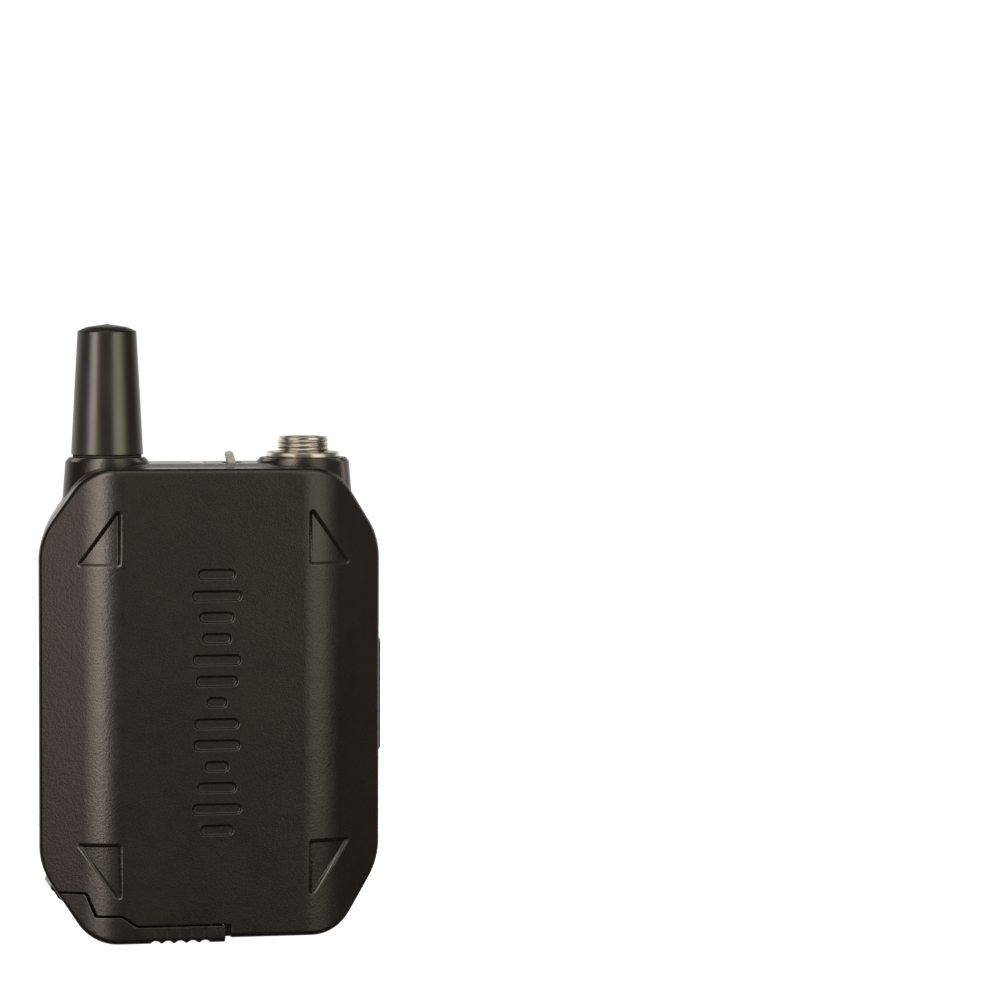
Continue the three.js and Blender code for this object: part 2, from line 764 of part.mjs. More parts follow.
function lockNut() {
  const corners = [];
  for (let i = 0; i < 6; i += 1) {
    const angle = (i * Math.PI) / 3;
    corners.push(new THREE.Vector2(JACK_X + 6.2 * Math.cos(angle), BOSS_Y + 6.2 * Math.sin(angle)));
  }
  const hexagon = prismZ(new THREE.Shape(corners), [86.5, 88.7]);
  return hexagon.subtract(cylinderZ(BARREL_R + GAP, [JACK_X, BOSS_Y], [85, 90], ROUND));
}

function jackPinPlaces() {
  return [45, 135, 225, 315].map((degrees) => {
    const angle = THREE.MathUtils.degToRad(degrees);
    const x = JACK_X + JACK_PIN_RING_R * Math.cos(angle);
    return [x, BOSS_Y + JACK_PIN_RING_R * Math.sin(angle)];
  });
}

function jackInsert() {
  const disc = turned(
    [[0, 82], [BARREL_BORE_R - 0.25, 82], [BARREL_BORE_R - 0.25, 86.5], [0, 86.5]],
    [JACK_X, BOSS_Y],
    20,
  );
  const holes = jackPinPlaces().map((place) => cylinderZ(0.7, place, [81, 88], 8));
  return cut(disc, ...holes);
}

function jackPin(place) {
  const [x, y] = place;
  return turned([[0, 79.8], [0.45, 79.8], [0.45, 89.9], [0.2, 90.3], [0, 90.3]], [x, y], 8);
}

// ---- controls ---------------------------------------------------------------------------

// A tapered lever leaning left about the pivot at its foot.
function switchLever() {
  const shape = new THREE.Shape(
    vectors([[-0.85, 0], [-0.6, -0.6], [0.6, -0.6], [0.85, 0], [0.62, 3.1], [0.4, SWITCH_TIP], [-0.4, SWITCH_TIP], [-0.62, 3.1]]),
  );
  const lean = THREE.MathUtils.radToDeg(SWITCH_LEAN);
  return prismY(shape, [BOSS_Y - 1.65, BOSS_Y + 1.65])
    .rotate([0, -lean, 0])
    .translate([SWITCH_X, 0, SWITCH_PIVOT_Z]);
}

function switchBody() {
  return box([SWITCH_X - 3.6, SWITCH_X + 3.6], [BOSS_Y - 2.4, BOSS_Y + 2.4], [79.5, 87.3]);
}

function lensShape(margin) {
  const halfX = 1.4 + margin;
  const halfY = 1.1 + margin;
  return rectangle([LENS_X - halfX, LENS_X + halfX], [BOSS_Y - halfY, BOSS_Y + halfY], 0.9 + margin);
}

// The light pipe that carries the status light to the top.
function statusLens() {
  return prismZ(lensShape(0), [79.6, REAR_TOP + 0.15]);
}

function statusLed() {
  return box([LENS_X - 0.8, LENS_X + 0.8], [BOSS_Y - 0.6, BOSS_Y + 0.6], [77.5, 79.2]);
}

function buttonShape(margin) {
  const y = grown([BUTTON_Y - 2, BUTTON_Y + 2], margin);
  return rectangle(y, grown(BUTTON_Z, margin), 1.9 + margin);
}

function sideButton() {
  const pill = prismX(buttonShape(0), [28.8, BUTTON_FACE_X]);
  const crown = cylinderY(9, [BUTTON_FACE_X - 9, 74], [BUTTON_Y - 4, BUTTON_Y + 4], ROUND * 2);
  const upperCrown = cylinderY(6, [BUTTON_FACE_X - 6, 75], [BUTTON_Y - 4, BUTTON_Y + 4], ROUND * 2);
  const stem = box([28, BUTTON_FACE_X], [BUTTON_Y - 4, BUTTON_Y + 4], [70, 74.6]);
  return pill.intersect(joined(crown, upperCrown, stem));
}

function sideButtonDome() {
  return cylinderX(1.4, [BUTTON_Y, 75], [27.6, 28.1], 12);
}

function sideButtonSwitch() {
  return box([24.6, 27.4], [BUTTON_Y - 2.2, BUTTON_Y + 2.2], [72.6, 77.4]);
}

// ---- fasteners ----------------------------------------------------------------------------

// A screw along Y, head at the back, with a cross recess.
function screwY([x, z], headR, [tipY, seatY, headY]) {
  const head = cylinderY(headR, [x, z], [seatY, headY]);
  const shank = cylinderY(1, [x, z], [tipY, seatY], 8);
  const slot = box([x - headR * 0.6, x + headR * 0.6], [headY - 0.6, headY + 1], [z - 0.25, z + 0.25]);
  const crossSlot = box([x - 0.25, x + 0.25], [headY - 0.6, headY + 1], [z - headR * 0.6, z + headR * 0.6]);
  return cut(joined(head, shank), slot, crossSlot);
}

function clipScrewPlaces() {
  return [[-7.5, 80], [7.5, 80]];
}

// ---- belt clip -----------------------------------------------------------------------------

function clipBracket() {
  const plate = prismY(rectangle([-11, 11], [69.5, 83], 1.5), [BACK_Y + 0.1, BACK_Y + 1.2]);
  const [y, z] = CLIP_PIVOT.toArray();
  const ears = [-1, 1].map((side) => {
    const span = side > 0 ? [6.9, 8.4] : [-8.4, -6.9];
    return joined(
      cylinderX(1.9, [y, z], span),
      box(span, [BACK_Y + 0.6, y], [z - 1.9, z + 1.9]),
    );
  });
  const holes = clipScrewPlaces().map((place) => cylinderY(SCREW_HOLE_R, place, [BACK_Y, BACK_Y + 3]));
  return cut(joined(plate, ...ears), cylinderX(1.25, [y, z], [-12, 12]), ...holes);
}

// The clip's strip in Y and Z: down the back, in to the case, and out again at the lip.
function clipStrip() {
  const run = CLIP_BACK - CLIP_THICKNESS / 2;
  const middle = new THREE.SplineCurve(
    vectors([
      [CLIP_PIVOT.x + 1.5, CLIP_PIVOT.y],
      [run - 0.15, 68],
      [run, 60],
      [run, 46],
      [run - 0.3, 32],
      [14.3, 24.5],
      [12.75, 20.5],
      [13.3, 17.2],
      [15.2, 14.6],
    ]),
  );
  const steps = 26;
  const left = [];
  const right = [];
  for (let i = 0; i <= steps; i += 1) {
    const point = middle.getPoint(i / steps);
    const along = middle.getTangent(i / steps);
    const across = new THREE.Vector2(-along.y, along.x).multiplyScalar(CLIP_THICKNESS / 2);
    left.push(point.clone().add(across));
    right.unshift(point.clone().sub(across));
  }
  return new THREE.Shape([...left, ...right]);
}

function clipPlan() {
  const corners = vectors([
    [-10, 13],
    [10, 13],
    [CLIP_HALF_WIDTH, 58],
    [4.4, 66.5],
    [4.4, 80],
    [-4.4, 80],
    [-4.4, 66.5],
    [-CLIP_HALF_WIDTH, 58],
  ]);
  return roundedShape(corners, [5, 5, 5, 4, 0, 0, 4, 5]);
}

function beltClip() {
  const strip = prismX(clipStrip(), [-CLIP_HALF_WIDTH, CLIP_HALF_WIDTH]);
  const leaf = strip.intersect(prismY(clipPlan(), [10, 20]));
  const knuckle = cylinderX(2, CLIP_PIVOT.toArray(), [-4.4, 4.4], 20);
  return joined(leaf, knuckle).subtract(cylinderX(1.25, CLIP_PIVOT.toArray(), [-12, 12]));
}

function clipPin() {
  const [y, z] = CLIP_PIVOT.toArray();
  return joined(cylinderX(0.95, [y, z], [-9.2, 9.2]), cylinderX(1.6, [y, z], [8.7, 9.5]));
}

function clipSpring() {
  const profile = [[1.25, 0]];
  for (let i = 0; i < 3; i += 1) profile.push([1.6, i * 0.62], [1.85, i * 0.62 + 0.3], [1.6, i * 0.62 + 0.6]);
  profile.push([1.25, 1.86], [1.25, 0]);
  const [y, z] = CLIP_PIVOT.toArray();
  return turned(profile, [0, 0], 16).rotate([0, 90, 0]).translate([4.7, y, z]);
}

// ---- assembly --------------------------------------------------------------------------------

const FINISHES = {
  shell: { color: 0x2a2624, roughness: 0.62, metalness: 0 },
  plastic: { color: 0x1b1a19, roughness: 0.55, metalness: 0 },
  rubber: { color: 0x0e0e0e, roughness: 0.85, metalness: 0 },
  nickel: { color: 0xc9c5bb, roughness: 0.22, metalness: 1 },
  steel: { color: 0x8d8f91, roughness: 0.35, metalness: 1 },
  blackSteel: { color: 0x181818, roughness: 0.4, metalness: 0.6 },
  gold: { color: 0xd3a94c, roughness: 0.3, metalness: 1 },
  lever: { color: 0xaaaaa0, roughness: 0.5, metalness: 0 },
  lens: { color: 0xe8e8e2, roughness: 0.15, metalness: 0 },
  board: { color: 0x14482c, roughness: 0.5, metalness: 0 },
  chip: { color: 0x141414, roughness: 0.6, metalness: 0 },
  copper: { color: 0xb06a3a, roughness: 0.35, metalness: 1 },
  battery: { color: 0x35383c, roughness: 0.5, metalness: 0 },
  label: { color: 0x2e2d2b, roughness: 0.45, metalness: 0 },
  foam: { color: 0x303030, roughness: 0.95, metalness: 0 },
};

// The frame's origin: under the middle of the whole object, at the height of its lowest point.
const CENTRE_X = (PANEL_X - HALF_WIDTH) / 2;
const CENTRE_Y = (FRONT_Y + CLIP_BACK) / 2;

const assembly = new THREE.Group();
assembly.position.set(-CENTRE_X, -CENTRE_Y, -DOOR_BOTTOM);

function add(name, body, finish) {
  const mesh = new THREE.Mesh(geometryOf(body), new THREE.MeshStandardMaterial(FINISHES[finish]));
  mesh.name = name;
  assembly.add(mesh);
}

add("front_cover", frontCover(), "shell");
add("rear_housing", rearHousing(), "shell");
add("seam_gasket", seamGasket(), "rubber");
add("label_plate", labelPlate(), "label");

add("battery_door", batteryDoor(), "shell");
add("door_hinge_pin", hingePin(), "steel");
add("door_bolt", doorBolt(), "plastic");
add("door_bolt_spring", boltSpring(), "steel");
add("battery_pad", batteryPad(), "foam");
add("battery", battery(), "battery");
add("battery_tray", batteryTray(), "plastic");
add("battery_contact_1", batteryContact(-15), "gold");
add("battery_contact_2", batteryContact(-6.5), "gold");
add("contact_block", contactBlock(), "plastic");

add("main_board", mainBoard(), "board");
add("radio_shield", boardPart([-13, 3], [71, 76.6], 2.4, 1), "steel");
add("radio_module", boardPart([-23.5, -9], [71, 76.6], 1.8, -1), "steel");
add("processor_chip", boardPart([9, 17], [58, 66], 1.1, -1), "chip");
add("converter_chip", boardPart([9, 14], [44, 49], 1.1, -1), "chip");
add("charger_choke", choke(), "copper");
add("usb_shell", usbShell(), "steel");
add("usb_tongue", usbTongue(), "plastic");
add("side_panel", sidePanel(), "plastic");
add("usb_flap", usbFlap(), "rubber");

add("antenna_sleeve", antennaSleeve(), "rubber");
add("antenna_seal", antennaSeal(), "rubber");
add("antenna_coil", antennaCoil(), "copper");
add("antenna_pin", antennaPin(), "gold");

add("jack_barrel", jackBarrel(), "nickel");
add("jack_flange_nut", flangeNut(), "nickel");
add("jack_lock_nut", lockNut(), "nickel");
add("jack_insert", jackInsert(), "plastic");
jackPinPlaces().forEach((place, i) => add(`jack_pin_${i + 1}`, jackPin(place), "gold"));

add("power_switch_lever", switchLever(), "lever");
add("power_switch_body", switchBody(), "plastic");
add("status_lens", statusLens(), "lens");
add("status_led", statusLed(), "lens");
add("side_button", sideButton(), "rubber");
add("side_button_dome", sideButtonDome(), "rubber");
add("side_button_switch", sideButtonSwitch(), "chip");

screwPlaces().forEach((place, i) => {
  add(`case_screw_${i + 1}`, screwY(place, 1.75, [RIM_Y - 1.9, BACK_Y - 1.7, BACK_Y - 0.3]), "blackSteel");
});
clipScrewPlaces().forEach((place, i) => {
  add(`clip_screw_${i + 1}`, screwY(place, 2, [BACK_Y - 3, BACK_Y + 1.3, BACK_Y + 2.3]), "blackSteel");
});
add("clip_bracket", clipBracket(), "blackSteel");
add("clip_pin", clipPin(), "steel");
add("clip_spring", clipSpring(), "steel");
add("belt_clip", beltClip(), "blackSteel");

const transmitter = new THREE.Group();
transmitter.add(assembly);

export default transmitter;
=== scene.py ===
"""The looks of a body-pack guitar transmitter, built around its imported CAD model.

Shapes are worked out in millimetres in the case's own frame, the one that the CAD is drawn in, and place()
takes them to the row frame in metres.
"""

import json
import math

import bmesh
import bpy
import numpy as np
from mathutils import Matrix, Vector
from mathutils.geometry import delaunay_2d_cdt
from mathutils.kdtree import KDTree

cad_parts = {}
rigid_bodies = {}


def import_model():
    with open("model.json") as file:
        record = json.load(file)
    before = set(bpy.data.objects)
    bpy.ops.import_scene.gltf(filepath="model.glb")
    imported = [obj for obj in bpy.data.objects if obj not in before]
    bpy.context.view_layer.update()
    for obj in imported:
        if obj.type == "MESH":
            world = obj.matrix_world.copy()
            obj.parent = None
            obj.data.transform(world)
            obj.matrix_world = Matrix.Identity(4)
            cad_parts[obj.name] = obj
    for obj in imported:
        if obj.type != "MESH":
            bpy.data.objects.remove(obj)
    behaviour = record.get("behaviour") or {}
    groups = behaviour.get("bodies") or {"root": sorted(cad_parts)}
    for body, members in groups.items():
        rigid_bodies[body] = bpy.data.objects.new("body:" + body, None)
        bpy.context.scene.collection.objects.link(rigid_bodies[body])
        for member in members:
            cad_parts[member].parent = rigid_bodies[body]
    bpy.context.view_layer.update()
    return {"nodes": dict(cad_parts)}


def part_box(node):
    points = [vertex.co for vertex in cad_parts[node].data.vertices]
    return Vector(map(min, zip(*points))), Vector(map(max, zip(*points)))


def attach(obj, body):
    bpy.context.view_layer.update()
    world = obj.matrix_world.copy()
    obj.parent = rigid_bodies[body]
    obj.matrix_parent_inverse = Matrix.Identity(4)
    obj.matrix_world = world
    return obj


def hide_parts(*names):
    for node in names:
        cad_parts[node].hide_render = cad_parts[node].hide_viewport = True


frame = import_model()

# ---- the case's dimensions, in millimetres -----------------------------------------------------

MM = 0.001
HALF_WIDTH = 32.2
CASE_BOTTOM = 1.1
COVER_TOP = 89.3
REAR_TOP = 89.8
SHOULDER_X = 23.4
SHOULDER_Z = 13.4
SIDE_CORNER_R = 13.0
END_CORNER_R = 8.8
FRONT_Y = -11.5
RIM_Y = -4.5
SEAM_Y = -3.9
BACK_Y = 11.5
PLATEAU_X = 20.8
FOLD_R = 17.0
SIDE_TAPER = 2.0
END_TAPER = 0.5
WALL = 1.6
GAP = 0.3
AXIS_R = 0.001  # radius of the hairline that a turned body leaves free along its axis
EDGE_R = 1.1  # rounding of the cover's top and bottom edges
SIDE_EDGE_R = 0.55  # rounding of its side edges
SEAM_R = 0.16  # rounding where the cover and the door face each other
BACK_EDGE_R = 1.3

FACET = math.atan2(RIM_Y - 1 - FRONT_Y, HALF_WIDTH - PLATEAU_X)
FOLD_START = PLATEAU_X - FOLD_R * math.tan(FACET / 2)
FOLD_END = FOLD_START + FOLD_R * math.sin(FACET)

POCKET_DEPTH = 0.8
POCKET_MIDDLE_X = 0.2
POCKET_LEAD, POCKET_SLOPE, POCKET_CURVE = 0.12, 0.82, 1.7  # the wall's start outside the edge, width, power
POCKET_INNER_X, POCKET_OUTER_X = 17.6, 26.2
POCKET_BASE, POCKET_TIP = 18.3, 6.3
BAR_COUNT, BAR_PITCH, BAR_WIDTH, BAR_DEPTH = 13, 4.0, 1.9, 0.4
BAR_X, BAR_Z = 0.4, 45.5
BAR_SHORTEST, BAR_SWELL = 1.6, 3.0  # half the shortest bar, and how much the longest adds to it

BOSS_Y = 3.4
ANTENNA_X, JACK_X = -18.5, 18.9
DOOR_BOTTOM, DOOR_END_X, DOOR_NOTCH_X, DOOR_LIP_Z, DOOR_TOP_Z = 0.3, 2.0, 3.1, 3.5, 9.8
DOOR_PIVOT = (-29.15, 10.4)
RIB_COUNT, RIB_PITCH = 6, 2.33
RIB_R = 1.2
RIB_FRONT, RIB_BOTTOM = 1.165, 0.75  # how far outside the front and the bottom the grooves' middles lie
DOOR_END_WALL = 1.4

# The origin of the case's frame, in the row frame. Its X is the cover's middle, its Y follows from the
# cover's front and its Z from the door's underside.
_cover_low, _cover_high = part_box("front_cover")
_door_low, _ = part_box("battery_door")
CASE = Vector(
    (
        (_cover_low.x + _cover_high.x) / 2,
        _cover_low.y - FRONT_Y * MM,
        _door_low.z - DOOR_BOTTOM * MM,
    )
)


def place(point):
    """A point of the case's frame, in millimetres, in the row frame."""
    return CASE + Vector(point) * MM


# ---- camera ------------------------------------------------------------------------------------

CAMERA_AT = (-103.9, -793.5, 127.2)
CAMERA_ANGLES = (11.433, 3.165, 0.2)  # degrees: turned to the right, pitched down, and rolled
LENS = 152.2


def make_camera():
    azimuth, pitch, roll = (math.radians(a) for a in CAMERA_ANGLES)
    forward = Vector(
        (
            math.sin(azimuth) * math.cos(pitch),
            math.cos(azimuth) * math.cos(pitch),
            -math.sin(pitch),
        )
    )
    right = forward.cross(Vector((0, 0, 1))).normalized()
    up = right.cross(forward)
    right, up = (
        right * math.cos(roll) + up * math.sin(roll),
        up * math.cos(roll) - right * math.sin(roll),
    )
    camera = bpy.data.objects.new("camera", bpy.data.cameras.new("camera"))
    camera.data.lens = LENS
    camera.data.sensor_width = 36
    camera.data.clip_start, camera.data.clip_end = 0.05, 100
    camera.matrix_world = Matrix.LocRotScale(
        place(CAMERA_AT),
        Matrix((right, up, -forward)).transposed().to_quaternion(),
        None,
    )
    bpy.context.scene.collection.objects.link(camera)
    bpy.context.scene.camera = camera


make_camera()


# ---- plane curves ------------------------------------------------------------------------------


def rounded(corners, radii, steps=6, closed=True):
    """Corners joined by straight lines, each corner turned with its own radius."""
    corners = [Vector(c) for c in corners]
    count = len(corners)
    points = []
    for i, corner in enumerate(corners):
        radius = radii[i] if hasattr(radii, "__len__") else radii
        if radius == 0 or (not closed and i in (0, count - 1)):
            points.append(tuple(corner))
            continue
        arc = corner_arc(corners[i - 1], corner, corners[(i + 1) % count], radius, steps)
        points += [tuple(p) for p in arc]
    return points


def corner_arc(before, corner, after, radius, steps):
    """The arc that turns one corner, from its start to its end."""
    a, b = (before - corner).normalized(), (after - corner).normalized()
    half = math.acos(max(-1, min(1, a.dot(b)))) / 2
    middle = corner + (a + b).normalized() * (radius / math.sin(half))
    start = corner + a * (radius / math.tan(half)) - middle
    end = corner + b * (radius / math.tan(half)) - middle
    turn = math.atan2(start.x * end.y - start.y * end.x, start.dot(end))
    first = math.atan2(start.y, start.x)
    return [
        middle + radius * Vector((math.cos(first + turn * k / steps), math.sin(first + turn * k / steps)))
        for k in range(steps + 1)
    ]


def rectangle(a, b, radius, steps=6):
    """A rectangle with rounded corners, from its two spans."""
    return rounded([(a[0], b[0]), (a[1], b[0]), (a[1], b[1]), (a[0], b[1])], radius, steps)


def resampled(points, spacing):
    """The same line with its long stretches divided."""
    out = [points[0]]
    for p, q in zip(points[:-1], points[1:]):
        n = max(1, math.ceil(math.dist(p, q) / spacing))
        out += [tuple(np.add(np.array(p) * (1 - k / n), np.array(q) * (k / n))) for k in range(1, n + 1)]
    return out


def distance(points, line):
    """Distance of each point from a line of many short pieces."""
    line = np.asarray(line, float)
    a, ab = line[:-1], line[1:] - line[:-1]
    length = np.maximum((ab**2).sum(1), 1e-12)
    out = []
    for some in np.array_split(np.asarray(points, float), max(1, len(points) // 3000)):
        offset = some[:, None] - a
        t = np.clip((offset * ab).sum(2) / length, 0, 1)
        out.append(np.sqrt(((offset - t[..., None] * ab) ** 2).sum(2).min(1)))
    return np.concatenate(out)


def inside(points, polygon):
    """Whether each point lies inside the polygon."""
    points, polygon = np.asarray(points, float), np.asarray(polygon, float)
    x, y = points[:, 0][:, None], points[:, 1][:, None]
    x0, y0 = polygon[:, 0], polygon[:, 1]
    x1, y1 = np.roll(x0, -1), np.roll(y0, -1)
    rise = np.where(np.abs(y1 - y0) < 1e-12, 1e-12, y1 - y0)
    crossing = ((y0 > y) != (y1 > y)) & (x < (x1 - x0) * (y - y0) / rise + x0)
    return crossing.sum(1) % 2 == 1


def depth_inside(points, polygon):
    """Distance from the polygon's edge, positive inside it."""
    line = list(polygon) + [polygon[0]]
    return distance(points, line) * np.where(inside(points, polygon), 1, -1)


def smooth(t):
    """An eased step from 0 to 1."""
    t = np.clip(t, 0, 1)
    return t * t * (3 - 2 * t)


def quarter(d, radius):
    """How far a rounded edge has dropped at a distance d from it."""
    d = np.clip(np.asarray(d, float), 0, radius)
    return radius - np.sqrt(np.maximum(radius**2 - (radius - d) ** 2, 0))


# ---- the eight-sided outline -------------------------------------------------------------------


def outline_corners(top, bottom, inset=0.0, draw=0.0):
    """The outline's eight corners; draw brings in the sides more than the ends, as the housing tapers."""
    slope = Vector((SHOULDER_Z, HALF_WIDTH - SHOULDER_X)).normalized()
    reach = slope.x * HALF_WIDTH - inset - draw * 0.6
    half = HALF_WIDTH - inset - draw
    upper, lower = top - inset, bottom + inset
    upper_start, lower_start = COVER_TOP - SHOULDER_Z, CASE_BOTTOM + SHOULDER_Z
    rise = (reach - slope.x * half) / slope.y

    def run(height):
        return (reach - slope.y * height) / slope.x

    right = [
        (run(lower_start - lower), lower),
        (half, lower_start - rise),
        (half, upper_start + rise),
        (run(upper - upper_start), upper),
    ]
    return [Vector(c) for c in right + [(-x, z) for x, z in reversed(right)]]


CORNER_RADII = [END_CORNER_R, SIDE_CORNER_R, SIDE_CORNER_R, END_CORNER_R] * 2


def divided(p, q, count, dense_start=False, dense_end=False):
    """Points after p up to q; the count is the same for every ring, so rings match point for point."""
    length = (q - p).length
    steps = [k / count for k in range(1, count)]
    near = [0.05, 0.12, 0.22, 0.4]
    if dense_start:
        steps = [d / length for d in near] + [s for s in steps if s * length > 0.8 or s > 0.12]
    if dense_end:
        steps = [s for s in steps if s < 0.88] + [1 - d / length for d in reversed(near)]
    return [p + (q - p) * s for s in steps + [1]]


def ring(top, bottom, inset=0.0, draw=0.0, part="whole", arc_steps=14):
    """The outline, or the part of it that belongs to the cover or the door, as matching points."""
    corners = outline_corners(top, bottom, inset, draw)
    arcs = [
        corner_arc(corners[i - 1], corners[i], corners[(i + 1) % 8], CORNER_RADII[i] - inset, arc_steps)
        for i in range(8)
    ]
    # corner 7 is the lower left end corner and corner 0 the lower right one
    if part == "whole":
        points = []
        for i in range(8):
            points += arcs[i] + divided(arcs[i][-1], arcs[(i + 1) % 8][0], 10)[:-1]
        return [tuple(p) for p in points]
    cut_z = DOOR_TOP_Z + (GAP if part == "cover" else 0)
    cut_x = DOOR_NOTCH_X if part == "cover" else DOOR_END_X
    upper, lower = arcs[6][-1], arcs[7][0]
    on_chamfer = upper + (lower - upper) * ((upper.y - cut_z) / (upper.y - lower.y))
    on_bottom = Vector((cut_x, bottom + inset))
    if part == "cover":
        points = [on_bottom] + divided(on_bottom, arcs[0][0], 10, dense_start=True)
        for i in range(7):
            end = arcs[i + 1][0] if i < 6 else on_chamfer
            points += arcs[i][1:]
            points += divided(arcs[i][-1], end, 24 if i in (1, 5) else 10, dense_end=i == 6)
        return [tuple(p) for p in points]
    points = [on_chamfer] + divided(on_chamfer, lower, 8, dense_start=True) + arcs[7][1:]
    points += divided(arcs[7][-1], on_bottom, 150, dense_end=True)
    return [tuple(p) for p in points]


def seam(part):
    """The step between door and cover, from the bottom edge round to the chamfer."""
    margin = GAP if part == "cover" else 0
    end_x = DOOR_NOTCH_X if part == "cover" else DOOR_END_X
    corners = [
        (end_x, -6),
        (end_x, DOOR_LIP_Z + margin),
        (-14.6 + margin * 0.4, DOOR_LIP_Z + margin),
        (-17.5 + margin * 0.4, 5.5 + margin),
        (-22.3 + margin, 5.5 + margin),
        (-24.15 + margin, DOOR_TOP_Z + margin),
        (-40, DOOR_TOP_Z + margin),
    ]
    return rounded(corners, [0, 0.4, 1.2, 0.8, 0.4, 0.6, 0], closed=False)


def front_depth(x):
    """Y of the plain front: a flat plateau, a soft fold each side, and a sloping facet to each rim."""
    a = np.abs(x)
    fold = FRONT_Y + FOLD_R - np.sqrt(np.maximum(FOLD_R**2 - np.clip(a - FOLD_START, 0, None) ** 2, 1))
    facet = FRONT_Y + (a - PLATEAU_X) * math.tan(FACET)
    return np.where(a < FOLD_START, FRONT_Y, np.where(a < FOLD_END, fold, facet))


def edge_radius(x):
    """Rounding of the cover's edge, which is smaller along the sides."""
    return EDGE_R + (SIDE_EDGE_R - EDGE_R) * smooth((np.abs(x) - 19) / 10)


# ---- meshes ------------------------------------------------------------------------------------


# Where a point of a plane shape goes at a height along an axis: (x, y) for Z, (x, z) for Y and (y, z) for X.
ALONG = {
    "Z": lambda p, h: (p[0], p[1], h),
    "Y": lambda p, h: (p[0], h, p[1]),
    "X": lambda p, h: (h, p[0], p[1]),
}


def around(axis, radius, angle, height):
    """A point at a radius and an angle about an axis."""
    a, b = radius * math.cos(angle), radius * math.sin(angle)
    return {"Z": (a, b, height), "X": (height, a, b), "Y": (b, height, a)}[axis]


def mesh_from(bm, name):
    mesh = bpy.data.meshes.new(name)
    bm.to_mesh(mesh)
    bm.free()
    return mesh


def cleaned(bm):
    """The same body without double points or faces of no area, and with its faces turned outwards."""
    bmesh.ops.remove_doubles(bm, verts=bm.verts, dist=1e-4)
    bmesh.ops.dissolve_degenerate(bm, edges=bm.edges, dist=1e-5)
    bmesh.ops.recalc_face_normals(bm, faces=bm.faces)
    return bm


def add_grid(bm, rows, wrap=False):
    """Quads between matching rows of points."""
    verts = [[bm.verts.new(p) for p in row] for row in rows]
    for low, high in zip(verts[:-1], verts[1:]):
        count = len(low)
        for i in range(count if wrap else count - 1):
            j = (i + 1) % count
            bm.faces.new((low[i], low[j], high[j], high[i]))
    return verts


def capped(rows):
    """A closed body from matching rings, with a face over its first and its last."""
    bm = bmesh.new()
    verts = add_grid(bm, rows, wrap=True)
    bm.faces.new(verts[0])
    bm.faces.new(verts[-1])
    return cleaned(bm)


def rod(radius, span):
    """The profile of a plain round rod."""
    return [(AXIS_R, span[0]), (radius, span[0]), (radius, span[1]), (AXIS_R, span[1])]


def lathe(profile, centre, axis="Z", sides=72, shift=None):
    """A closed profile of (radius, height) pairs turned about an axis.

    shift(row, turn) moves the radius of a row at a part of the turn.
    """
    bm = bmesh.new()
    rows = []
    for k, (r, h) in enumerate(profile):
        row = []
        for i in range(sides):
            radius = max(0, r + (shift(k, i / sides) if shift else 0))
            row.append(around(axis, radius, 2 * math.pi * i / sides, h))
        rows.append([tuple(np.add(p, centre)) for p in row])
    add_grid(bm, rows + [rows[0]], wrap=True)
    return cleaned(bm)


def prism(points, span, axis):
    """A plane shape pushed along an axis."""
    return capped([[ALONG[axis](p, h) for p in points] for h in span])


def outward(loop):
    """Steps that move a convex loop outwards by 1; they are longer at its corners, so sides stay parallel."""
    before, after = np.roll(loop, 1, 0) - loop, np.roll(loop, -1, 0) - loop
    before_length, after_length = np.linalg.norm(before, axis=1), np.linalg.norm(after, axis=1)
    along = after / after_length[:, None] - before / before_length[:, None]
    normal = np.stack([-along[:, 1], along[:, 0]], 1)
    normal /= np.linalg.norm(normal, axis=1)[:, None]
    area = 0.5 * (loop[:, 0] * np.roll(loop[:, 1], -1) - np.roll(loop[:, 0], -1) * loop[:, 1]).sum()
    normal *= math.copysign(1, area)
    bend = (1 + (-before * after).sum(1) / before_length / after_length) / 2
    return normal / np.maximum(0.35, np.sqrt(np.clip(bend, 0, 1)))[:, None]


def round_edge(radius, steps, first=0):
    """A rounded edge's quarter turn: how far it has still to go on one side, and has gone on the other."""
    turns = [math.pi / 2 * k / steps for k in range(first, steps + 1)]
    return [(radius * (1 - math.sin(t)), radius * (1 - math.cos(t))) for t in turns]


def slab(points, span, axis, edge, steps=3):
    """A convex plane shape pushed along an axis, with its two end edges rounded."""
    loop = np.array(points, float)
    step = outward(loop)
    low, high = span
    rows = [(inset, low + rise) for inset, rise in round_edge(edge, steps)]
    rows += [(inset, high + low - h) for inset, h in reversed(rows)]
    return capped([[ALONG[axis](p, h) for p in loop + step * inset] for inset, h in rows])


def block(x, y, z, edge=0.15):
    """A box with every edge softened."""
    return slab(rectangle(x, y, edge, 3), z, "Z", edge)


def tube(points, radius, sides=10):
    """A round wire along a line of points."""
    points = [Vector(p) for p in points]
    rows, side = [], None
    for i, p in enumerate(points):
        along = (points[min(i + 1, len(points) - 1)] - points[max(i - 1, 0)]).normalized()
        if side is None:
            side = along.orthogonal().normalized()
        side = (side - along * side.dot(along)).normalized()
        other = along.cross(side)
        turns = [2 * math.pi * k / sides for k in range(sides)]
        rows.append([p + radius * (side * math.cos(t) + other * math.sin(t)) for t in turns])
    return capped(rows)


def helix(centre, axis, radius, length, turns, steps=20):
    """Points along a helix, with so many steps to a turn."""
    out = []
    count = int(turns * steps)
    for k in range(count + 1):
        point = around(axis, radius, 2 * math.pi * turns * k / count, length * k / count)
        out.append(tuple(np.add(point, centre)))
    return out


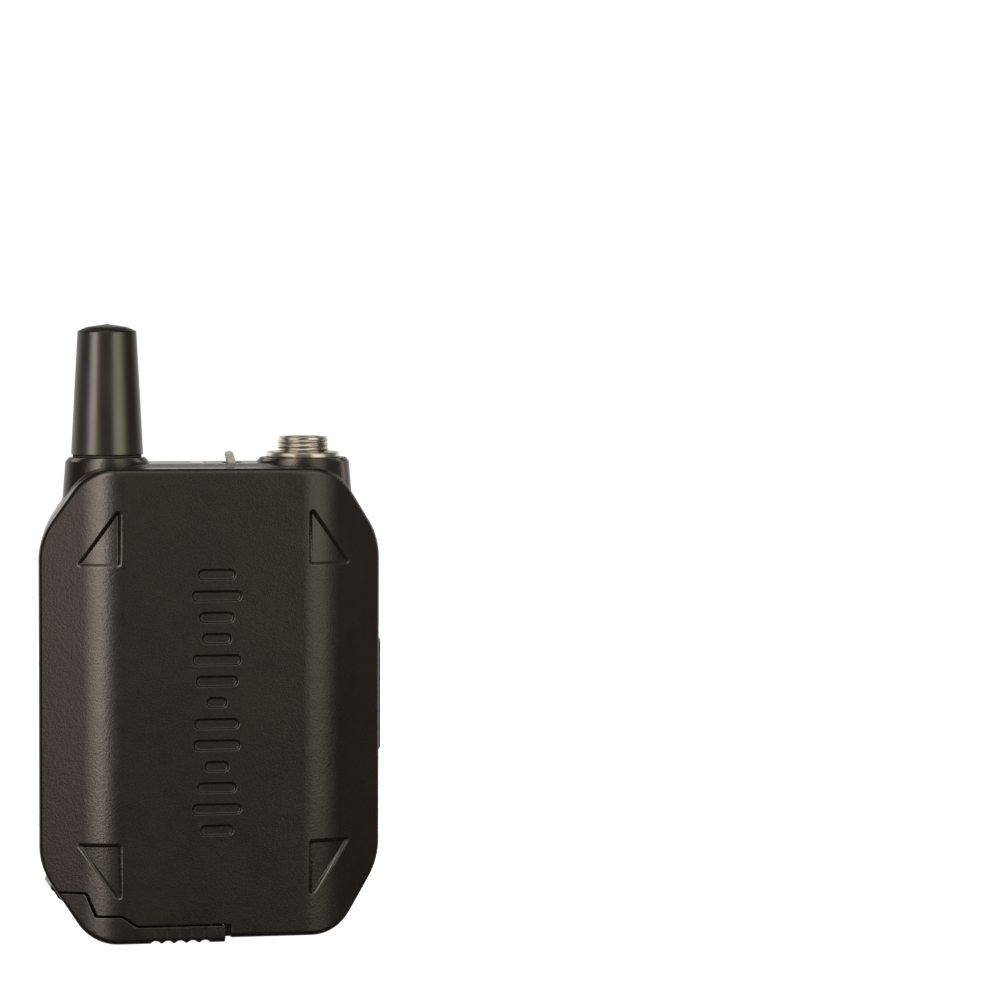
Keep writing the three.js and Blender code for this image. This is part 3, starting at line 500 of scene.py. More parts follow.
def carved(base, *steps):
    """Joins and cuts closed bodies. Each step is ("+", body), ("-", body) or ("&", body)."""
    made = [bpy.data.objects.new("carve", mesh_from(b, "carve")) for b in [base, *(s[1] for s in steps)]]
    for o in made:
        bpy.context.scene.collection.objects.link(o)
    for (kind, _), tool in zip(steps, made[1:]):
        m = made[0].modifiers.new("carve", "BOOLEAN")
        m.operation = {"+": "UNION", "-": "DIFFERENCE", "&": "INTERSECT"}[kind]
        m.solver = "MANIFOLD"
        m.object = tool
    bpy.context.view_layer.update()
    evaluated = made[0].evaluated_get(bpy.context.evaluated_depsgraph_get())
    bm = bmesh.new()
    bm.from_mesh(evaluated.to_mesh())
    evaluated.to_mesh_clear()
    for o in made:
        mesh = o.data
        bpy.data.objects.remove(o)
        bpy.data.meshes.remove(mesh)
    return cleaned(bm)


def piece(name, bm, body, slot, stands_for=(), angle=32):
    """A finished mesh as one of the object's pieces, with its slot's finish."""
    for v in bm.verts:
        v.co = place(v.co)
    mesh = mesh_from(bm, name)
    mesh.shade_smooth()
    mesh.set_sharp_from_angle(angle=math.radians(angle))
    mesh.materials.append(FINISH[slot])
    obj = bpy.data.objects.new(name, mesh)
    bpy.context.scene.collection.objects.link(obj)
    even = obj.modifiers.new("even_normals", "WEIGHTED_NORMAL")
    even.keep_sharp = True
    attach(obj, body)
    if stands_for:
        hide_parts(*([stands_for] if isinstance(stands_for, str) else stands_for))
    return obj


FLAT_AREA = 60.0  # square millimetres
FLAT_ANGLE = 32  # degrees


def level_normals(obj):
    """Gives the rim of each large flat area that area's own normal, so that its shading stays even."""
    mesh = obj.data
    count = len(mesh.polygons)
    normals, points = np.zeros(3 * count), np.zeros(3 * len(mesh.vertices))
    areas, sizes, corners = np.zeros(count), np.zeros(count, int), np.zeros(len(mesh.loops), int)
    mesh.polygons.foreach_get("normal", normals)
    mesh.polygons.foreach_get("area", areas)
    mesh.polygons.foreach_get("loop_total", sizes)
    mesh.loops.foreach_get("vertex_index", corners)
    mesh.vertices.foreach_get("co", points)
    normals, points = normals.reshape(-1, 3), points.reshape(-1, 3)
    owners = np.repeat(np.arange(count), sizes)
    first = corners[np.cumsum(sizes) - sizes]
    offsets = np.einsum("ij,ij->i", normals, points[first]) / MM
    keys = np.round(np.column_stack([normals * 200, offsets * 20])).astype(int)
    _, group = np.unique(keys, axis=0, return_inverse=True)
    group = group.ravel()
    total = np.bincount(group, areas) / MM**2
    exact = np.zeros((len(corners), 3))
    for g in np.argsort(total):
        if total[g] < FLAT_AREA:
            continue
        members = group == g
        normal = normals[np.argmax(np.where(members, areas, 0))]
        on = np.zeros(len(points), bool)
        on[corners[members[owners]]] = True
        exact[on[corners] & (normals[owners] @ normal > math.cos(math.radians(FLAT_ANGLE)))] = normal
    obj.modifiers.clear()
    mesh.normals_split_custom_set(exact.tolist())


# ---- finishes ----------------------------------------------------------------------------------


class Finish:
    """A node material whose grain, wear and colour variation come from the piece's own coordinates."""

    def __init__(self, name, colour, roughness, metallic=0.0, **sockets):
        self.material = bpy.data.materials.new(name)
        self.material.use_nodes = True
        self.nodes, self.links = self.material.node_tree.nodes, self.material.node_tree.links
        self.shader = self.nodes["Principled BSDF"]
        self.shader.inputs["Base Color"].default_value = (*colour, 1)
        self.shader.inputs["Roughness"].default_value = roughness
        self.shader.inputs["Metallic"].default_value = metallic
        for socket, value in sockets.items():
            self.shader.inputs[socket.replace("_", " ")].default_value = value
        self.colour, self.roughness = colour, roughness
        self.where = self.nodes.new("ShaderNodeTexCoord").outputs["Object"]
        self.normal = None

    def noise(self, size, detail, stretch):
        """Noise whose blobs are about `size` millimetres across."""
        mapping = self.nodes.new("ShaderNodeMapping")
        mapping.inputs["Scale"].default_value = stretch
        self.links.new(self.where, mapping.inputs["Vector"])
        noise = self.nodes.new("ShaderNodeTexNoise")
        noise.inputs["Scale"].default_value = 1 / (size * MM)
        noise.inputs["Detail"].default_value = detail
        self.links.new(mapping.outputs["Vector"], noise.inputs["Vector"])
        return noise.outputs["Fac"]

    def cells(self, size):
        """Round cells about `size` millimetres across."""
        voronoi = self.nodes.new("ShaderNodeTexVoronoi")
        voronoi.feature = "SMOOTH_F1"
        voronoi.inputs["Scale"].default_value = 1 / (size * MM)
        voronoi.inputs["Smoothness"].default_value = 0.6
        self.links.new(self.where, voronoi.inputs["Vector"])
        return voronoi.outputs["Distance"]

    def pattern(self, size, detail=None, stretch=(1, 1, 1)):
        """Cells when only a size is given, and noise when it has a detail too."""
        return self.cells(size) if detail is None else self.noise(size, detail, stretch)

    def remap(self, value, low, high, to_low, to_high):
        """Takes a value from one range to another."""
        node = self.nodes.new("ShaderNodeMapRange")
        for socket, number in zip(("From Min", "From Max", "To Min", "To Max"), (low, high, to_low, to_high)):
            node.inputs[socket].default_value = number
        self.links.new(value, node.inputs["Value"])
        return node.outputs["Result"]

    def bumped(self, height, strength, depth):
        """Adds a relief of `depth` millimetres."""
        node = self.nodes.new("ShaderNodeBump")
        node.inputs["Strength"].default_value = strength
        node.inputs["Distance"].default_value = depth * MM
        self.links.new(height, node.inputs["Height"])
        if self.normal:
            self.links.new(self.normal, node.inputs["Normal"])
        self.normal = node.outputs["Normal"]
        self.links.new(self.normal, self.shader.inputs["Normal"])

    def rough(self, value, spread, low=0.35, high=0.65):
        """Varies the roughness by `spread` either way."""
        varied = self.remap(value, low, high, self.roughness - spread, self.roughness + spread)
        self.links.new(varied, self.shader.inputs["Roughness"])

    def tinted(self, value, other, low=0.4, high=0.65):
        """Mixes in another colour where the value is high. A later call tints on top of an earlier one."""
        node = self.nodes.new("ShaderNodeMix")
        node.data_type = "RGBA"
        self.links.new(self.remap(value, low, high, 0, 1), node.inputs[0])
        before = self.shader.inputs["Base Color"]
        if before.is_linked:
            self.links.new(before.links[0].from_socket, node.inputs[6])
        else:
            node.inputs[6].default_value = (*self.colour, 1)
        node.inputs[7].default_value = (*other, 1)
        self.links.new(node.outputs[2], before)

    def worn(self, other, low, high):
        """A paler tone along convex edges, where handling polishes them."""
        self.tinted(self.nodes.new("ShaderNodeNewGeometry").outputs["Pointiness"], other, low, high)


FINISH = {}


def add_finish(name, colour, roughness, reliefs, uneven, tint, metallic=0.0, wear=None, **sockets):
    """Adds a finish to FINISH.

    Its reliefs are (pattern, strength, depth), its unevenness of polish is (pattern, spread) and its tint is
    (pattern, colour), with a range where it needs one.
    """
    finish = Finish(name, colour, roughness, metallic, **sockets)
    for pattern, strength, depth in reliefs:
        finish.bumped(finish.pattern(*pattern), strength, depth)
    finish.rough(finish.pattern(*uneven[0]), uneven[1])
    finish.tinted(finish.pattern(*tint[0]), *tint[1:])
    if wear:
        finish.worn(*wear)
    FINISH[name] = finish.material


add_finish(
    "powder_coat", (0.0080, 0.0066, 0.0058), 0.29,
    [((0.42, 2), 0.55, 0.042), ((0.9, 0), 0.3, 0.02)], ((3, 2), 0.012), ((9, 3), (0.0105, 0.0086, 0.0073)),
    wear=((0.03, 0.026, 0.023), 0.57, 0.70),
)
add_finish(
    "antenna_rubber", (0.016, 0.0145, 0.0130), 0.32,
    [((0.35, 2), 0.3, 0.01)], ((3.5, 3, (1, 1, 0.3)), 0.04), ((6, 2), (0.020, 0.018, 0.0155)),
)
add_finish(
    "black_plastic", (0.012, 0.0115, 0.011), 0.42,
    [((0.3, 2), 0.35, 0.012)], ((2.5, 3), 0.06), ((5, 2), (0.018, 0.017, 0.016)),
)
add_finish(
    "soft_rubber", (0.011, 0.0105, 0.010), 0.72,
    [((0.4, 3), 0.4, 0.02)], ((2, 3), 0.07), ((3.5, 4), (0.022, 0.021, 0.020)),
)
add_finish(
    "nickel", (0.62, 0.58, 0.51), 0.33,
    [((0.5, 2), 0.2, 0.006)], ((1.2, 4), 0.07), ((1.8, 4), (0.47, 0.43, 0.37)),
    metallic=1.0,
)
add_finish(
    "gold_contact", (0.83, 0.58, 0.22), 0.24,
    [((0.12, 2), 0.15, 0.003)], ((0.8, 3), 0.06), ((1.1, 3), (0.66, 0.43, 0.15)),
    metallic=1.0,
)
add_finish(
    "steel", (0.48, 0.48, 0.48), 0.3,
    [((0.15, 3, (6, 1, 1)), 0.2, 0.004)], ((1.5, 4), 0.08), ((2.2, 4), (0.36, 0.36, 0.37)),
    metallic=1.0,
)
add_finish(
    "black_steel", (0.02, 0.019, 0.018), 0.36,
    [((0.28, 3), 0.35, 0.01)], ((2.4, 4), 0.08), ((4, 3), (0.03, 0.028, 0.026)),
    metallic=0.55, wear=((0.16, 0.155, 0.15), 0.55, 0.68),
)
add_finish(
    "switch_grey", (0.34, 0.345, 0.30), 0.45,
    [((0.25, 2), 0.3, 0.01)], ((0.9, 3), 0.06), ((1.4, 3), (0.26, 0.262, 0.23)),
)
add_finish(
    "clear_lens", (0.72, 0.72, 0.68), 0.12,
    [((0.5, 1), 0.15, 0.006)], ((0.7, 2), 0.04), ((0.9, 2), (0.6, 0.61, 0.58)),
    Transmission_Weight=0.35, IOR=1.49,
)
add_finish(
    "circuit_board", (0.012, 0.085, 0.035), 0.32,
    [((1.6,), 0.4, 0.02)], ((1.1, 3), 0.08), ((1.6,), (0.02, 0.14, 0.055), 0.15, 0.3),
)
add_finish(
    "chip_black", (0.016, 0.016, 0.017), 0.5,
    [((0.14, 2), 0.4, 0.008)], ((0.9, 3), 0.06), ((1.5, 3), (0.026, 0.026, 0.027)),
)
add_finish(
    "copper", (0.66, 0.27, 0.12), 0.3,
    [((0.3, 1, (0.15, 1, 1)), 0.4, 0.03)], ((1, 3), 0.07), ((1.3, 3), (0.5, 0.19, 0.08)),
    metallic=1.0,
)
add_finish(
    "battery_wrap", (0.035, 0.038, 0.043), 0.4,
    [((1.6, 2), 0.25, 0.02)], ((4, 3), 0.08), ((7, 2), (0.048, 0.052, 0.058)),
)
add_finish(
    "label_film", (0.030, 0.029, 0.028), 0.38,
    [((0.5, 2), 0.2, 0.005)], ((3, 3), 0.07), ((5, 3), (0.040, 0.039, 0.037)),
)
add_finish(
    "foam", (0.03, 0.03, 0.031), 0.95,
    [((0.55,), 0.9, 0.12)], ((0.5, 2), 0.04), ((0.55,), (0.012, 0.012, 0.012), 0.3, 0.6),
)


# ---- front cover and battery door --------------------------------------------------------------


def pocket_shape(side, end):
    """A triangular pocket beside the plateau: side -1 or 1, and end -1 at the bottom or 1 at the top."""
    near = COVER_TOP - POCKET_BASE if end > 0 else CASE_BOTTOM + POCKET_BASE
    tip = COVER_TOP - POCKET_TIP if end > 0 else CASE_BOTTOM + POCKET_TIP
    inner, outer = POCKET_MIDDLE_X + side * POCKET_INNER_X, POCKET_MIDDLE_X + side * POCKET_OUTER_X
    return rounded([(inner, near), (outer, near), (inner, tip)], [0.9, 0.6, 0.7], 8)


def bar_shape(i):
    """One of the bars down the plateau, whose widths rise and fall like waves."""
    z = BAR_Z + (i - (BAR_COUNT - 1) / 2) * BAR_PITCH
    half = BAR_SHORTEST + BAR_SWELL * abs(math.sin(0.95 * i + 0.5))
    return rectangle((BAR_X - half, BAR_X + half), (z - BAR_WIDTH / 2, z + BAR_WIDTH / 2), 0.9, 6)


POCKETS = [pocket_shape(side, end) for side in (-1, 1) for end in (-1, 1)]
POCKET_BASES = [z for _ in (-1, 1) for z in (CASE_BOTTOM + POCKET_BASE, COVER_TOP - POCKET_BASE)]
BARS = [bar_shape(i) for i in range(BAR_COUNT)]


def rib_grooves(x, sunk):
    """Depth of the grip's grooves, each a round whose middle lies `sunk` outside the surface."""
    first = DOOR_END_X - 0.25 - RIB_PITCH / 2
    nearest = np.clip(np.round((first - x) / RIB_PITCH), 0, RIB_COUNT - 1)
    across = x - first + nearest * RIB_PITCH
    return np.maximum(np.sqrt(np.maximum(RIB_R**2 - across**2, 0)) - sunk, 0)


def ramp(depth, width, ease):
    """A straight slope from 0 to 1 over the given width, with both its ends eased."""
    def area(u):
        return np.where(u < width, np.maximum(u, 0) ** 2 / (2 * width), u - width / 2)

    return (area(depth + ease / 2) - area(depth - ease / 2)) / ease


def front_height(part):
    """The depth Y of a point of the cover's or door's front, with everything sunk into it."""
    edge = resampled(seam(part), 0.5)

    def height(xz):
        x, z = xz[:, 0], xz[:, 1]
        y = front_depth(x) + quarter(distance(xz, edge), SEAM_R)
        if part == "door":
            return y + rib_grooves(x, RIB_FRONT) * smooth((3.15 - z) / 0.3)
        for shape, base in zip(POCKETS, POCKET_BASES):
            # shallower at its base than at its tip
            share = 0.55 + 0.45 * np.clip(np.abs(z - base) / (POCKET_BASE - POCKET_TIP), 0, 1)
            wall = np.clip((depth_inside(xz, shape) + POCKET_LEAD) / POCKET_SLOPE, 0, 1) ** POCKET_CURVE
            y = y + POCKET_DEPTH * share * wall
        for shape in BARS:
            y = y + BAR_DEPTH * ramp(depth_inside(xz, shape) + 0.1, 0.3, 0.2)
        return y

    return height


def beside(line, distances, closed=False):
    """Rows of points that follow a line at given distances on both its sides."""
    line = np.array(list(line) + ([line[0]] if closed else []), float)
    along = np.gradient(line, axis=0)
    along /= np.maximum(np.linalg.norm(along, axis=1), 1e-9)[:, None]
    normal = np.stack([-along[:, 1], along[:, 0]], 1)
    out = []
    for d in distances:
        moved = line + normal * d
        out.append(moved[np.abs(distance(moved, line) - abs(d)) < 0.15 * abs(d) + 0.003])
    return np.concatenate(out)


def around_shape(shape, spacing, distances):
    """Rows of points round a closed shape at given distances from its edge, on both its sides."""
    line = resampled(shape + shape[:1], spacing)[:-1]
    return [(beside(line, [sign * d for d in distances], closed=True), 0.03) for sign in (1, -1)]


def lattice(x_values, z_step, low=0.0, high=92.0):
    """Points of a grid on the front."""
    return np.array([(x, low + k * z_step) for x in x_values for k in range(int((high - low) / z_step))])


def filled(bm, layer, region, inner, extra, height, lift):
    """Fills a region, given as edge points in three dimensions, with triangles through the extra points.

    Each set of extra points comes with the distance that it keeps from the region's edge and from
    earlier points.
    """
    flat = [(p[0], p[2]) for p in region]
    chosen = np.empty((0, 2))
    for points, clear in extra:
        points = np.unique(np.round(points, 3), axis=0)
        from_edge = distance(points, flat + flat[:1])
        points = points[inside(points, flat) & (from_edge > (min(0.04, clear) if clear < 0.2 else clear))]
        if len(chosen) and len(points):
            taken = KDTree(len(chosen))
            for i, p in enumerate(chosen):
                taken.insert((*p, 0), i)
            taken.balance()
            points = points[[taken.find((*p, 0))[2] > clear for p in points]]
        chosen = np.concatenate([chosen, points])
    everything = [Vector(p) for p in flat] + [Vector(p) for p in chosen]
    points, _, faces, origins, _, _ = delaunay_2d_cdt(everything, [], [list(range(len(flat)))], 1, 1e-6)
    xz = np.array([tuple(p) for p in points])
    y = height(xz)
    verts = []
    for (x, z), depth, origin in zip(xz, y, origins):
        edge = next((i for i in origin if i < len(flat)), None)
        if edge is None:
            v = bm.verts.new((x, depth, z))
            v[layer] = Vector((x, lift(x), z))
        else:
            v = bm.verts.new(region[edge])
            v[layer] = Vector(inner[edge])
        verts.append(v)
    for f in faces:
        bm.faces.new([verts[i] for i in f])


def thickened(bm, layer):
    """Closes an open skin with the inner skin that the layer holds."""
    bmesh.ops.remove_doubles(bm, verts=bm.verts, dist=1e-4)
    bmesh.ops.recalc_face_normals(bm, faces=bm.faces)
    front = min(bm.faces, key=lambda f: f.calc_center_median().y)
    if front.normal.y > 0:
        bmesh.ops.reverse_faces(bm, faces=bm.faces)
    outer_faces = list(bm.faces)
    loops = [loop for e in bm.edges if e.is_boundary for loop in e.link_loops]
    open_edges = [(loop.vert, loop.link_loop_next.vert) for loop in loops]
    twin = {v: bm.verts.new(v[layer]) for v in list(bm.verts)}
    for f in outer_faces:
        bm.faces.new([twin[v] for v in reversed(f.verts)])
    for a, b in open_edges:
        bm.faces.new((b, a, twin[a], twin[b]))
    bmesh.ops.remove_doubles(bm, verts=list(twin.values()), dist=2e-3)
    bmesh.ops.dissolve_degenerate(bm, edges=bm.edges, dist=1e-5)
    return bm


def at_depth(xz, y):
    """Plane points in three dimensions, at one depth or at a depth each."""
    return np.stack([xz[:, 0], np.broadcast_to(y, len(xz)), xz[:, 1]], 1)


def shell_skin(part):
    """The outer skin of the cover or the door, with its inner skin kept beside it."""
    bottom = CASE_BOTTOM if part == "cover" else DOOR_BOTTOM
    outer = np.array(ring(COVER_TOP, bottom, 0, 0, part))
    inner = np.array(ring(COVER_TOP, bottom, WALL, 0, part))
    inward = (inner - outer) / WALL
    radius = edge_radius(outer[:, 0])
    edge = resampled(seam(part), 0.5)
    eased = quarter(distance(outer, edge), SEAM_R)
    on_bottom = (np.abs(inward[:, 1] - 1) < 0.02) & (part == "door")
    grooves = rib_grooves(outer[:, 0], RIB_BOTTOM) * on_bottom
    front_grooves = rib_grooves(outer[:, 0], RIB_FRONT) * (grooves > 0)

    bm = bmesh.new()
    layer = bm.verts.layers.float_vector.new("inner")
    rows, inner_rows = [], []
    inner_front = front_depth(inner[:, 0]) + WALL
    for k in range(9):
        turn = math.pi / 2 * k / 8
        base = outer + inward * (radius * (1 - math.sin(turn)) + eased * math.sin(turn))[:, None]
        y = front_depth(base[:, 0]) + radius * (1 - math.cos(turn)) + (eased + front_grooves) * math.cos(turn)
        base[:, 1] += grooves * math.sin(turn)
        rows.append(at_depth(base, y))
        inner_rows.append(at_depth(inner, inner_front))
    if part == "cover":
        for y, inset in ((RIM_Y - 0.12, 0), (RIM_Y - 0.04, 0.04), (RIM_Y, 0.12)):
            base = outer + inward * (eased + inset)[:, None]
            rows.append(at_depth(base, y))
            inner_rows.append(at_depth(inner, np.maximum(inner_front, y) if y == RIM_Y else inner_front))
    else:
        depths = [(y, 0.0) for y in (SEAM_Y, 0.0, 3.5, 7.0, BACK_Y - BACK_EDGE_R)]
        depths += [(BACK_Y - left, inset) for left, inset in round_edge(BACK_EDGE_R, 7, 1)]
        for y, inset in depths:
            share = (y - SEAM_Y) / (BACK_Y - SEAM_Y)
            section = (REAR_TOP, bottom + END_TAPER * share)
            base = np.array(ring(*section, inset, SIDE_TAPER * share, part))
            deep = np.array(ring(*section, WALL, SIDE_TAPER * share, part))
            base = base + inward * eased[:, None] * (1 - inset / BACK_EDGE_R)
            base[:, 1] += grooves * (1 - 0.6 * inset / BACK_EDGE_R)
            rows.append(at_depth(base, y - eased * (inset / BACK_EDGE_R)))
            inner_rows.append(at_depth(deep, np.clip(y, inner_front, BACK_Y - WALL)))
    if part == "door":
        for row in inner_rows:
            row[:, 0] = np.minimum(row[:, 0], DOOR_END_X - DOOR_END_WALL)
    for row, kept in zip(add_grid(bm, rows), inner_rows):
        for v, p in zip(row, kept):
            v[layer] = Vector(p)
    close_front(bm, layer, part, rows[0], inner_rows[0], edge)
    if part == "door":
        close_back(bm, layer, rows[-1], inner_rows[-1], edge)
    return bm, layer


def seam_between(edge, row, reach):
    """The seam's points that lie on the shell, in order from the row's last point to its first."""
    edge = np.array(edge)
    start = np.array((row[-1][0], row[-1][2]))
    low, high = np.array((row[0][0], row[0][2])), start
    if low[1] > high[1]:
        low, high = high, low
    keep = (edge[:, 1] > low[1] + reach) & (edge[:, 0] > high[0] + reach)
    points = edge[keep]
    return points if np.linalg.norm(points[0] - start) < np.linalg.norm(points[-1] - start) else points[::-1]


# Distances from the seam and from the edges of the pockets and bars at which the front has rows of points
SEAM_ROWS = (0.05, 0.11, 0.17, 0.24)
POCKET_ROWS = (-0.7, -0.4, -0.24, -0.12, -0.03, 0.08, 0.19, 0.3, 0.41, 0.51, 0.6, 0.68, 0.73, 0.82)
BAR_ROWS = (-0.75, -0.45, -0.3, -0.22, -0.15, -0.08, 0, 0.08, 0.16, 0.22, 0.28, 0.36)


def close_front(bm, layer, part, row, inner_row, edge):
    """The front's inner region, finest where its form bends."""
    height = front_height(part)
    steps = seam_between(edge, row, 0.15)
    furthest = HALF_WIDTH if part == "cover" else DOOR_END_X - DOOR_END_WALL
    inner_steps = [(min(x, furthest), front_depth(x) + WALL, z) for x, z in steps]
    region = [tuple(p) for p in row] + [(x, y, z) for (x, z), y in zip(steps, height(steps))]
    inner = [tuple(p) for p in inner_row] + inner_steps
    folds = [s * (FOLD_START + k * (FOLD_END - FOLD_START) / 16) for s in (-1, 1) for k in range(17)]
    extra = [(beside(edge, [s * d for s in (-1, 1) for d in (*SEAM_ROWS, 0.4)]), 0.03)]
    if part == "cover":
        for shape in POCKETS:
            extra += around_shape(shape, 0.35, POCKET_ROWS)
        for shape in BARS:
            extra += around_shape(shape, 0.3, BAR_ROWS)
        reach = BAR_PITCH * BAR_COUNT / 2 + 1
        columns = np.arange(BAR_X - 6.6, BAR_X + 6.7, 0.55)
        extra.append((lattice(columns, 0.55, BAR_Z - reach, BAR_Z + reach), 0.2))
    else:
        ribs = np.arange(-13.0, DOOR_END_X, 0.14)
        heights = (1.6, 2.0, 2.5, 2.85, 2.95, 3.05, 3.15)
        extra.append((np.array([(x, z) for x in ribs for z in heights]), 0.05))
    extra.append((lattice(folds, 0.9, 0.5), 0.25))
    extra.append((lattice(np.arange(-31, 31.5, 2.1), 2.1, 0.8), 0.9))
    filled(bm, layer, region, inner, extra, height, lambda x: float(front_depth(x)) + WALL)


def close_back(bm, layer, row, inner_row, edge):
    """The door's back, inside the rounded edge."""
    steps = seam_between(edge, row, 0.2)
    drop = BACK_Y - SEAM_R
    region = [tuple(p) for p in row] + [(x, drop, z) for x, z in steps]
    furthest = DOOR_END_X - DOOR_END_WALL
    inner = [tuple(p) for p in inner_row] + [(min(x, furthest), BACK_Y - WALL, z) for x, z in steps]
    extra = [(beside(edge, [s * d for s in (-1, 1) for d in SEAM_ROWS]), 0.03)]
    extra.append((lattice(np.arange(-30, 2, 2.0), 1.5, 0.8), 0.9))

    def height(xz):
        return BACK_Y - quarter(distance(xz, edge), SEAM_R)

    filled(bm, layer, region, inner, extra, height, lambda x: BACK_Y - WALL)


def front_normals(bm, part):
    """The exact normals of the front for its points away from the seam, and zero for every other point."""
    height = front_height(part)
    points = np.array([tuple(v.co) for v in bm.verts])
    xz = points[:, [0, 2]]
    chosen = np.flatnonzero(points[:, 1] < 4)
    chosen = chosen[np.abs(height(xz[chosen]) - points[chosen, 1]) < 1e-3]
    chosen = chosen[distance(xz[chosen], resampled(seam(part), 0.5)) > SEAM_R + 0.05]
    step = 0.004
    slopes = [
        (height(xz[chosen] + offset) - height(xz[chosen] - offset)) / (2 * step)
        for offset in (np.array([step, 0]), np.array([0, step]))
    ]
    normals = np.zeros_like(points)
    exact = np.stack([slopes[0], -np.ones(len(chosen)), slopes[1]], 1)
    normals[chosen] = exact / np.linalg.norm(exact, axis=1)[:, None]
    return normals


def front_cover():
    bm = thickened(*shell_skin("cover"))
    normals = front_normals(bm, "cover")
    shell = piece("front_cover_shell", bm, "case", "powder_coat", "front_cover", 40)
    shell.modifiers.clear()
    shell.data.normals_split_custom_set_from_vertices(normals.tolist())
    across, deep = (DOOR_END_X + 0.14, DOOR_NOTCH_X + 0.4), (FRONT_Y + 2.0, FRONT_Y + 3.6)
    stop = block(across, deep, (CASE_BOTTOM + 0.08, DOOR_LIP_Z + 0.2), 0.1)
    piece("front_cover_door_stop", stop, "case", "powder_coat")


def end_wall(bm):
    """Adds the flat wall at the door's free end, between the edges of its front, bottom and back."""
    bmesh.ops.remove_doubles(bm, verts=bm.verts, dist=1e-4)
    rim = [v for v in bm.verts if abs(v.co.x - DOOR_END_X) < 2e-3 and v.is_boundary]
    rim.sort(key=lambda v: math.atan2(v.co.z - DOOR_LIP_Z - 0.01, v.co.y))
    bm.faces.new(rim)


def battery_door():
    bm, layer = shell_skin("door")
    end_wall(bm)
    shell = thickened(bm, layer)
    x, z = DOOR_PIVOT
    corners = [(-0.7, 0), (0.6, -2.2), (1.9, -3.2), (2.6, -2.6), (0.85, -0.6), (0.85, 0)]
    leaf = rounded([(x + a, z + b) for a, b in corners], [0, 0.8, 0.3, 0.3, 0.8, 0], 4)
    shell = carved(shell, ("-", block((0, 3), (-1.8, 1.8), (1.95, 4), 0.1)))
    piece("battery_door_shell", shell, "battery_door", "powder_coat", "battery_door", 40)
    hinge = carved(
        lathe(rectangle((AXIS_R, 0.85), (-2.4, 6.4), 0.12, 3), (x, 0, z), "Y", 40),
        ("+", prism(leaf, (-2.4, 6.4), "Y")),
        ("-", lathe(rod(0.5, (-5, 9)), (x, 0, z), "Y", 24)),
    )
    piece("battery_door_knuckle", hinge, "battery_door", "powder_coat")
    peg = block((-10.4, -9.6), (-1.5, 1.5), (1.85, 3.2), 0.12)
    piece("battery_door_spring_peg", peg, "battery_door", "powder_coat")


# ---- rear housing and what closes it -----------------------------------------------------------


def rear_rows(inset, front, back, edge):
    """Rings of the rear housing's form from front to back, with a rounded back edge."""
    depths = [(front, 0.15), (front + 0.05, 0.05), (front + 0.15, 0.0)] if inset == 0 else [(front, 0.0)]
    depths += [(front + 0.15 + k * 0.4, 0.0) for k in range(1, 9)] + [(back - edge, 0.0)]
    depths += [(back - left, extra) for left, extra in round_edge(edge, 7, 1)]
    rows = []
    for y, extra in depths:
        share = (y - SEAM_Y) / (BACK_Y - SEAM_Y)
        top = COVER_TOP + (REAR_TOP - COVER_TOP) * float(smooth((y - SEAM_Y) / 3))
        flat = ring(top, CASE_BOTTOM + END_TAPER * share, inset + extra, SIDE_TAPER * share)
        rows.append([(x, y, z) for x, z in flat])
    return rows


def rear_form(inset, front):
    """The rear housing's form, or with an inset its hollow."""
    return capped(rear_rows(inset, front, BACK_Y - inset, BACK_EDGE_R - 0.5 * inset))


# Each boss: its middle, the height and radius of its top and of its shoulder, and the radius of its foot
ANTENNA_BOSS = (ANTENNA_X, 90.95, 7.2, 90.15, 7.88, 8.8)
JACK_BOSS = (JACK_X, 90.8, 8.2, 90.1, 8.8, 9.75)


def boss_form(x, top, top_r, rim, rim_r, foot_r, inset=0.0):
    """A round boss on the housing's top, drawn in where it would pass the housing's front or back."""
    level = top - inset
    flank = [(foot_r - inset, 79), (rim_r - inset, rim - inset), (top_r - inset, level)]
    profile = rounded([(AXIS_R, 79), *flank, (AXIS_R, level)], [0, 0, 0.45, 0.35, 0], 5)
    room = block((-40, 40), (SEAM_Y + inset, BACK_Y - 0.4 - inset), (78.9, 99), 0.05)
    body = lathe(profile, (x, BOSS_Y, 0), sides=112)
    for v in body.verts:
        r, y = math.hypot(v.co.x - x, v.co.y - BOSS_Y), v.co.y - BOSS_Y
        limit = (7.0 if y < 0 else 7.4) - inset
        if r > limit:
            v.co.y = BOSS_Y + y * (limit + 0.09 * (r - limit)) / r
    return carved(body, ("&", room))


def flared(points, span, axis, mouth=0.15):
    """A cutter whose high end opens out, which leaves a softened edge round the hole."""
    low, high = span
    wide = np.array(points, float)
    wide = wide.mean(0) + (wide - wide.mean(0)) * (1 + 2 * mouth / np.ptp(wide, axis=0).min())
    put = ALONG[axis]
    rows = [[put(p, low) for p in points], [put(p, high - mouth) for p in points]]
    rows += [[put(p, high) for p in wide], [put(p, high + 2) for p in wide]]
    return capped(rows)


def circle(r, centre, sides=48):
    """A circle as a plane shape."""
    turns = [2 * math.pi * k / sides for k in range(sides)]
    return [(centre[0] + r * math.cos(t), centre[1] + r * math.sin(t)) for t in turns]


SCREWS = [(side * 27.1, z) for side in (-1, 1) for z in (24, 66)]
LENS_X, SWITCH_X, SWITCH_Z = -1.35, 5.35, 88.6
CLIP_SCREWS = [(-7.5, 80), (7.5, 80)]
CLIP_PIVOT = (15.1, 72.5)


def lens_shape(margin):
    """The status lens seen from above, or its opening."""
    half_x, half_y = 1.4 + margin, 1.1 + margin
    return rectangle((LENS_X - half_x, LENS_X + half_x), (BOSS_Y - half_y, BOSS_Y + half_y), 0.9 + margin)


